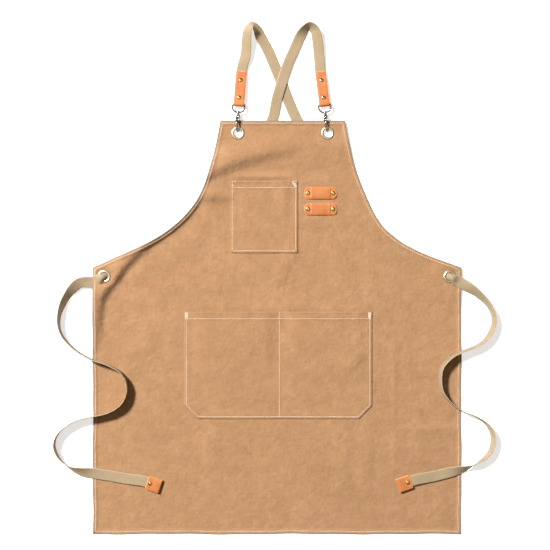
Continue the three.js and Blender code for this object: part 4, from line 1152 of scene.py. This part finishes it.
def strap_profile(gather, facing, columns=13):
    """Section of the webbing, flat with ribs and thinner edges, or curled over where it is gathered."""
    half = WEBBING["width"] / 2
    v = np.linspace(-1.0, 1.0, columns) * half
    body = 1.0 - WEBBING["edge_thin"] * (np.abs(v) / half) ** WEBBING["edge_power"]
    thick = WEBBING["thick"] / 2 * body + WEBBING["rib"] * np.cos(v * math.tau / WEBBING["rib_pitch"])
    bend = max(gather, LEAST_GATHER) * WEBBING["curl"] / half
    turn = v * bend
    x = np.sin(turn) / bend
    drop = (1.0 - np.cos(turn)) / bend
    drop = (drop - drop.max() / 2) * facing
    nx, nz = np.sin(turn) * facing, np.cos(turn)
    upper = np.column_stack([x + nx * thick, nz * thick - drop])
    lower = np.column_stack([x - nx * thick, -nz * thick - drop])
    return np.vstack([upper, lower[::-1]]), np.concatenate([v, v[::-1]])


def add_strap(name):
    x, y, lift, lean_deg, gather = strap_sections(strap_rows(name)).T
    lean = np.radians(lean_deg)
    profiles = [strap_profile(g, 1.0 if math.cos(a) >= 0 else -1.0) for g, a in zip(gather, lean)]
    half, thick = np.array([p.max(axis=0) for p, _ in profiles]).T
    middle = np.column_stack([x, y, lift + half * np.abs(np.sin(lean)) + thick * np.abs(np.cos(lean))])
    travel = along_line(middle)
    leftward = np.cross([0.0, 0.0, 1.0], travel)
    leftward /= np.linalg.norm(leftward, axis=1)[:, None]
    upward = np.cross(travel, leftward)
    turn = (SIDES[name]["hand"] * lean)[:, None]
    across = leftward * np.cos(turn) - upward * np.sin(turn)
    normal = leftward * np.sin(turn) + upward * np.cos(turn)
    band = sweep(middle, across, normal, np.stack([p for p, _ in profiles]))
    along = travelled(middle)
    v = profiles[0][1]
    lay = np.stack(np.broadcast_arrays(along[:, None] * MM, v[None, :] * MM), axis=-1).reshape(-1, 2)
    edge = np.tile(ease(np.abs(v), *WEBBING["worn"]), len(along))
    node = f"strap_{name}"
    piece = add_piece(f"webbing_{name}", band, WEBBING_FINISH, [node], uv=lay, edge=edge)
    return piece, along[-1]


webbing = {name: add_strap(name) for name in SIDES}

# Leather

# Nearness to a cut edge round the section of a strip: top face, right edge, under face, left edge
SLAB_EDGE = [0.25, 0, 0, 0, 0.25, 1, 1, 1, 1] * 2
CUT_END = {"thin": 0.55, "over": (-0.3, 0.7), "worn": (0.3, 1.6), "eased": 0.5}
END_STATIONS = (0.0, 0.25, 0.6, 1.0, 1.6, 2.4, 3.4, 4.6, 6.0)
FOLD_CLOSES = (2.6, 11.0)
PRESSED = {"depth": 0.3, "reach": 5.2}
SHARP = {"leather": 60, "brass": 50, "eyelet": 50, "hook": 45}


def slab_profile(half, thick, soft):
    """Section of a leather strip with eased edges."""
    z = thick / 2
    inside = half - soft
    face = [(x, z) for x in (-inside, -inside * 0.6, 0.0, inside * 0.6, inside)]
    nearly = half - soft * 0.3
    right = [(nearly, z - soft * 0.3), (half, z - soft), (half, soft - z), (nearly, soft * 0.3 - z)]
    return np.array([*face, *right, *[(-x, -h) for x, h in face + right]])


def leather_strip(line, across, width, corner):
    """Strip along a line with rounded ends, and how near each of its points is to a cut edge."""
    side = np.tile(np.array(across, float), (len(line), 1))
    along = travelled(line)
    from_end = np.minimum(along, along[-1] - along)
    cut_back = corner - np.sqrt(np.clip(corner**2 - np.clip(corner - from_end, 0.0, corner) ** 2, 0.0, None))
    half = width / 2 - cut_back
    share = blend(CUT_END["thin"], 1.0, ease(from_end, *CUT_END["over"]))
    profiles = np.stack([slab_profile(h, LEATHER * s, CUT_END["eased"] * s) for h, s in zip(half, share)])
    strip = sweep(line, side, np.cross(along_line(line), side), profiles)
    end_edge = (1.0 - ease(from_end, *CUT_END["worn"]))[:, None]
    return strip, np.maximum(np.tile(SLAB_EDGE, (len(line), 1)), end_edge).ravel()


def dense_ends(length, step):
    """Stations along a length, close together at both ends."""
    ends = np.array(END_STATIONS)
    inner = np.linspace(ends[-1], length - ends[-1], max(2, int((length - 2 * ends[-1]) / step)))
    return np.concatenate([ends[:-1], inner, length - ends[-2::-1]])


def folded_line(length, fold):
    """Side view of leather folded round a bar: along Y with its height, top layer first."""
    near_fold = len(END_STATIONS)
    far = length - dense_ends(length, 2.0)[:-near_fold]
    y = np.concatenate([far, np.linspace(END_STATIONS[-1], 0.0, near_fold)])
    top = np.column_stack([y, blend(fold, LAYER, ease(y, *FOLD_CLOSES)) + LEATHER / 2])
    turn = np.linspace(math.pi / 2, 1.5 * math.pi, 16)[1:-1]
    bend = np.column_stack([np.cos(turn), np.sin(turn)]) * (fold + LEATHER / 2)
    flat = np.vstack([top, bend, top[::-1] * [1.0, -1.0]])
    return np.column_stack([np.zeros(len(flat)), flat])


def rivet_shape(back_z, front_z):
    """Domed cap on the front, flat washer on the back, shank between them."""
    cap, dome, back, shank, rim = pick(RIVET, "cap", "dome", "back", "shank", "rim")
    low = back_z - back
    foot = [(0.4, low), (cap - 0.5, low), (cap - 0.1, low + 0.2), (cap, back_z - 0.25), (cap - 0.15, back_z)]
    front = [(shank, back_z), (shank, front_z), (cap - 0.2, front_z), (cap - 0.02, front_z + 0.12)]
    crown = [
        (cap * math.cos(0.97 * a), front_z + rim + (dome - rim) * math.sin(a))
        for a in np.linspace(0.0, math.pi / 2, 8)
    ]
    return lathe([*foot, *front, *crown], 32)


def add_leather(name, node, strip, edge):
    add_piece(f"leather_{name}", strip, LEATHER_FINISH, [node], edge=edge, sharp=SHARP["leather"])


def add_rivet(name, node, matrix, back_z, front_z):
    rivet = placed(matrix, rivet_shape(back_z, front_z))
    add_piece(f"brass_{name}", rivet, BRASS_FINISH, [node], sharp=SHARP["brass"])


def add_folded(name, node, rivet_names, matrix, size, fold):
    """Leather folded over the webbing, drawn in round its rivets on both faces."""
    line = folded_line(size["length"], fold)
    (points, faces), edge = leather_strip(line, (1, 0, 0), size["width"], size["corner"])
    for y in size["rivets"]:
        near = np.exp(-(np.hypot(points[:, 0], points[:, 1] - y) / PRESSED["reach"]) ** 2)
        points[:, 2] -= np.sign(points[:, 2]) * PRESSED["depth"] * near
    add_leather(name, node, placed(matrix, (points, faces)), edge)
    half = LAYER + LEATHER - RIVET["sunk"]
    for (rivet, rivet_node), y in zip(rivet_names, size["rivets"]):
        add_rivet(rivet, rivet_node, matrix @ moved(0.0, y, 0.0), -half, half)


for name, places in PLACES.items():
    end = SIDES[name]["tie_side"]
    tab_rivets = [(f"tab_{name}_{level}", f"tab_rivet_{name}_{level}") for level in ("lower", "upper")]
    tip_rivets = [(f"tip_{end}", f"tip_rivet_{end}")]
    add_folded(f"tab_{name}", f"strap_tab_{name}", tab_rivets, places["tab"], TAB, TAB["fold"])
    add_folded(f"tip_{end}", f"tie_tip_{end}", tip_rivets, places["tip"], TIP, LAYER)


def loop_shape():
    """A pen loop with flat feet, short rises and a broad crown whose edges droop."""
    length = PEN_LOOP["right"] - PEN_LOOP["left"]
    x = dense_ends(length, 0.8)
    from_end = np.minimum(x, length - x)
    height = PEN_LOOP["rise"] * ease(from_end, *PEN_LOOP["rise_at"])
    height += PEN_LOOP["crown"] * ease(from_end, PEN_LOOP["crown_from"], length / 2)
    line = np.column_stack([x, np.zeros(len(x)), height + LEATHER / 2])
    (points, faces), edge = leather_strip(line, (0, 1, 0), PEN_LOOP["width"], PEN_LOOP["corner"])
    px, py, _ = points.T
    middle = ease(px, *PEN_LOOP["droop_at"]) * ease(length - px, *PEN_LOOP["droop_at"])
    points[:, 2] -= PEN_LOOP["droop"] * middle * (np.abs(py) / PEN_LOOP["width"] * 2) ** 3
    return (points, faces), edge


for row, y in PEN_LOOP_Y.items():
    strip, edge = loop_shape()
    strip = placed(moved(PEN_LOOP["left"], y, PEN_LOOP["base"]), strip)
    add_leather(f"loop_{row}", f"pen_loop_{row}", strip, edge)
    for end, inset in (("left", PEN_LOOP["rivet_inset"]), ("right", -PEN_LOOP["rivet_inset"])):
        here = moved(PEN_LOOP[end] + inset, y, 0.0)
        low, high = UNDER_LOOPS["height"] - RIVET["washer_sunk"], PEN_LOOP["base"] + LEATHER
        add_rivet(f"loop_{row}_{end}", f"loop_rivet_{row}_{end}", here, low, high)

# Eyelets and hooks


def eyelet_shape():
    """Rolled collar on the front, flat washer on the back and the barrel between them."""
    hole, barrel, outer, washer = pick(EYELET, "hole", "barrel", "outer", "washer")
    top = CANVAS + 0.12
    roll = [(outer, top), (outer + 0.02, top + 0.25), (outer - 0.35, top + 0.62), (outer - 1.3, top + 1.0)]
    crest = [(outer - 2.4, top + 1.12), (hole + 1.6, top + 1.0), (hole + 0.6, top + 0.6)]
    under = [(hole + 0.08, top - 0.1), (hole, 0.0), (hole + 0.1, -0.8), (hole + 0.6, -1.05)]
    back = [(washer - 0.3, -1.0), (washer, -0.75), (washer - 0.1, -0.3)]
    inside = [(hole + barrel, -0.3), (hole + barrel, top)]
    return lathe([*roll, *crest, *under, *back, *inside], 64, closed=True)


def ring_of_hook():
    """Flat D of wire with its post and button, which turn in the hook's barrel."""
    bar, foot, half, corner = pick(HOOK_EYE, "bar", "foot", "half", "corner")
    straight = half - corner
    right = bezier((0.4, foot), (10.0, foot), (half, foot + 5.0), (half, bar - corner), 24)
    turn = np.linspace(0.0, math.pi / 2, 10)[1:]
    bend = np.column_stack([straight + corner * np.cos(turn), bar - corner + corner * np.sin(turn)])
    flat = np.column_stack([np.linspace(straight, 0.0, 6)[1:], np.full(5, bar)])
    line = np.vstack([right, bend, flat])
    line = np.vstack([line, line[-2::-1] * [-1.0, 1.0]])
    bow = wire(np.column_stack([line, np.zeros(len(line))]), HOOK["wire"], (0.0, 0.0, 1.0))
    post, head, thick = pick(HOOK_EYE, "post", "head", "head_thick")
    low = -0.3 - thick
    button = [(head - 0.7, low), (head - 0.15, low + 0.12), (head, low + 0.4), (head, -0.5)]
    neck = [(post, -0.3), (post, 7.6), (post + 0.5, 8.4)]
    knob = [(2.7, 9.4), (2.9, 11.8), (2.75, 13.6), (2.1, 14.6), (1.0, 15.1)]
    return joined([bow, placed(ALONG_Y, lathe([*button, *neck, *knob], 32))])


def plate(outline, thickness, soft=0.25):
    """Flat plate in the YZ plane with eased edges."""
    outline = np.asarray(outline, float)
    middle = outline.mean(axis=0)
    small = middle + (outline - middle) * (1.0 - soft / 3.0)
    half = thickness / 2
    layers = [(small, -half), (outline, soft - half), (outline, half - soft), (small, half)]
    points = np.vstack([np.column_stack([np.full(len(o), x), o]) for o, x in layers])
    return points, tube_faces(len(layers), len(outline))


def hook_shape():
    """Bow of the snap hook with its barrel, the two ears of the gate and the gate's pin."""
    half, bend, nose = HOOK["span"] / 2, HOOK["bend"], HOOK["nose"]
    reach = half * 4.0 / 3.0
    start = bezier((4.5, -2.6), (1.2, -4.9), (-2.1, -half), (-5.5, -half), 16)
    straight = even_line([(-5.5, -half), (-bend, -half)], 1.5)[1:]
    turn = bezier((-bend, -half), (-bend - reach, -half), (-bend - reach, half), (-bend, half), 30)[1:]
    end = even_line([(-bend, half), (-nose, half)], 0.5)[1:]
    line = np.vstack([start, straight, turn, end])
    bow = wire(np.column_stack([np.zeros(len(line)), line]), HOOK["wire"], (1.0, 0.0, 0.0))
    barrel, long, bore = pick(HOOK, "barrel", "barrel_length", "bore")
    lower = [(bore, 0.0), (barrel - 0.5, 0.0), (barrel, 0.5), (barrel, 2.0)]
    waist = [(barrel - 0.35, 2.3), (barrel - 0.35, 2.7)]
    upper = [(barrel, 3.0), (barrel, long - 0.6), (barrel - 0.6, long), (bore, long)]
    tube = placed(ALONG_Y, lathe([*lower, *waist, *upper], 36, closed=True))
    hinge, hub, over = -GATE["hinge"], GATE["hub"], HOOK_EYE["head"] + 0.6
    turns = np.linspace(math.pi / 2, -math.pi / 2, 9)
    cap = [(hinge + hub * math.sin(a), half + hub * math.cos(a)) for a in turns]
    root = [(hinge - hub, half - hub * 0.8), (0.3, over), (0.3, 0.5)]
    ear = plate([(long - 1.0, 0.5), (long - 1.0, over), *cap, *root], GATE["ear"])
    place = GATE["ear_side"] + GATE["ear"] / 2
    ears = [placed(moved(x, 0.0, 0.0), ear) for x in (place, -place)]
    pin, end_x = GATE["pin"], GATE["ear_side"] + GATE["ear"] + 0.25
    rod = lathe([(pin - 0.3, -end_x), (pin, 0.3 - end_x), (pin, end_x - 0.3), (pin - 0.3, end_x)], 20)
    return joined([bow, tube, *ears, placed(moved(0.0, hinge, half) @ ALONG_X, rod)])


def gate_shape():
    """Sprung rod that closes the hook, with the round eye on its pin."""
    at_hinge = moved(0.0, -GATE["hinge"], HOOK["span"] / 2)
    length = HOOK["nose"] - GATE["off_nose"] - GATE["hinge"]
    r = GATE["wire"]
    rod = lathe([(r - 0.2, 1.0), (r, 1.3), (r, length - 0.3), (r - 0.3, length)], 20)
    hub, side, bore = GATE["hub"], GATE["half_thick"], GATE["pin"] + GATE["play"]
    rim = [(hub - 0.3, -side), (hub, 0.3 - side), (hub, side - 0.3), (hub - 0.3, side)]
    eye = lathe([(bore, -side), *rim, (bore, side)], 28, closed=True)
    return joined([placed(at_hinge @ ALONG_Y.inverted(), rod), placed(at_hinge @ ALONG_X, eye)])


for name, side in SIDES.items():
    places, end = PLACES[name], side["tie_side"]
    for eyelet, node, x, size in (
        (f"eyelet_bib_{name}", f"bib_grommet_{name}", side["eyelet_x"], BIB_EYELET),
        (f"eyelet_waist_{end}", f"waist_grommet_{end}", side["waist_x"], WAIST_EYELET),
    ):
        ring = placed(moved(x, size["y"], size["z"]), eyelet_shape())
        add_piece(eyelet, ring, EYELET_FINISH, [node], sharp=SHARP["eyelet"])
    for piece, node, shape, place, body in (
        ("hook_ring", "hook_eye", ring_of_hook(), places["swivel"], "apron"),
        ("hook", "hook_body", hook_shape(), places["hook"], "apron"),
        ("hook_latch", "hook_gate", gate_shape(), places["hook"], f"gate_{name}"),
    ):
        metal = placed(place, shape)
        stands_for = [f"{node}_{name}"]
        add_piece(f"{piece}_{name}", metal, NICKEL_FINISH, stands_for, body, sharp=SHARP["hook"])

# Floor, light and camera, in metres and watts

FLOOR = {
    "reach": 40.0, "pale": (0.9, 0.9, 0.9, 1.0), "paler": (0.915, 0.915, 0.915, 1.0),
    "glow": (0.94, 0.95, 1.0, 1.0),
}
LAMP = {
    "size": 1.15, "energy": 1215.0, "colour": (1.0, 0.985, 0.96), "azimuth": 140.0, "elevation": 47.0,
    "away": 7.0,
}
# Light from all round and from straight above, with the height at which one turns into the other, and the
# plain backdrop that shows behind the floor
STUDIO = {
    "round": (0.15, 0.122, 0.08, 1.0), "above": (1.25, 1.18, 1.02, 1.0), "turn": (0.9, 0.995),
    "backdrop": (0.74, 0.73, 0.72, 1.0),
}
CAMERA = {"place": (-0.0037, 0.0046, 1.9), "field": 1.016, "sensor": 36.0}


def add_to_scene(name, data):
    thing = bpy.data.objects.new(name, data)
    bpy.context.scene.collection.objects.link(thing)
    return thing


def add_floor():
    finish = Finish("pale_floor", Roughness=0.85, Specular_IOR_Level=0.1, Emission_Strength=0.55)
    finish.shader.inputs["Emission Color"].default_value = FLOOR["glow"]
    dye = finish.use(MOTTLE, Vector=finish.place(), Clouds=1.2, Flecks=300.0)
    finish.feed(Base_Color=finish.mix(dye["Cloud"], FLOOR["pale"], FLOOR["paler"]))
    mesh = bpy.data.meshes.new("floor")
    corners = [(x * FLOOR["reach"], y * FLOOR["reach"], 0.0) for x, y in ((-1, -1), (1, -1), (1, 1), (-1, 1))]
    mesh.from_pydata(corners, [], [(0, 1, 2, 3)])
    mesh.materials.append(finish.material)
    add_to_scene("floor", mesh)


def add_light():
    key = bpy.data.lights.new("window_light", "AREA")
    key.shape = "DISK"
    key.size, key.energy, key.color = pick(LAMP, "size", "energy", "colour")
    lamp = add_to_scene("window_light", key)
    azimuth, elevation = math.radians(LAMP["azimuth"]), math.radians(LAMP["elevation"])
    flat = math.cos(elevation)
    towards = Vector((math.cos(azimuth) * flat, math.sin(azimuth) * flat, math.sin(elevation)))
    lamp.location = towards * LAMP["away"]
    lamp.rotation_mode = "QUATERNION"
    lamp.rotation_quaternion = towards.to_track_quat("Z", "Y")


def add_studio():
    world = bpy.data.worlds.new("studio")
    bpy.context.scene.world = world
    world.use_nodes = True
    sky = Tree(world.node_tree)
    height = sky.split(sky.add("ShaderNodeTexCoord").outputs["Generated"])[2]
    light = sky.mix(sky.spread(height, *STUDIO["turn"]), STUDIO["round"], STUDIO["above"])
    seen = sky.add("ShaderNodeLightPath").outputs["Is Camera Ray"]
    back = world.node_tree.nodes["Background"]
    world.node_tree.links.new(sky.mix(seen, light, STUDIO["backdrop"]), back.inputs["Color"])


def add_camera():
    view = bpy.data.cameras.new("camera")
    view.sensor_width = CAMERA["sensor"]
    view.lens = CAMERA["sensor"] * CAMERA["place"][2] / CAMERA["field"]
    camera = add_to_scene("camera", view)
    camera.location = CAMERA["place"]
    bpy.context.scene.camera = camera


add_floor()
add_light()
add_studio()
add_camera()
bpy.context.scene.view_settings.view_transform = "Standard"
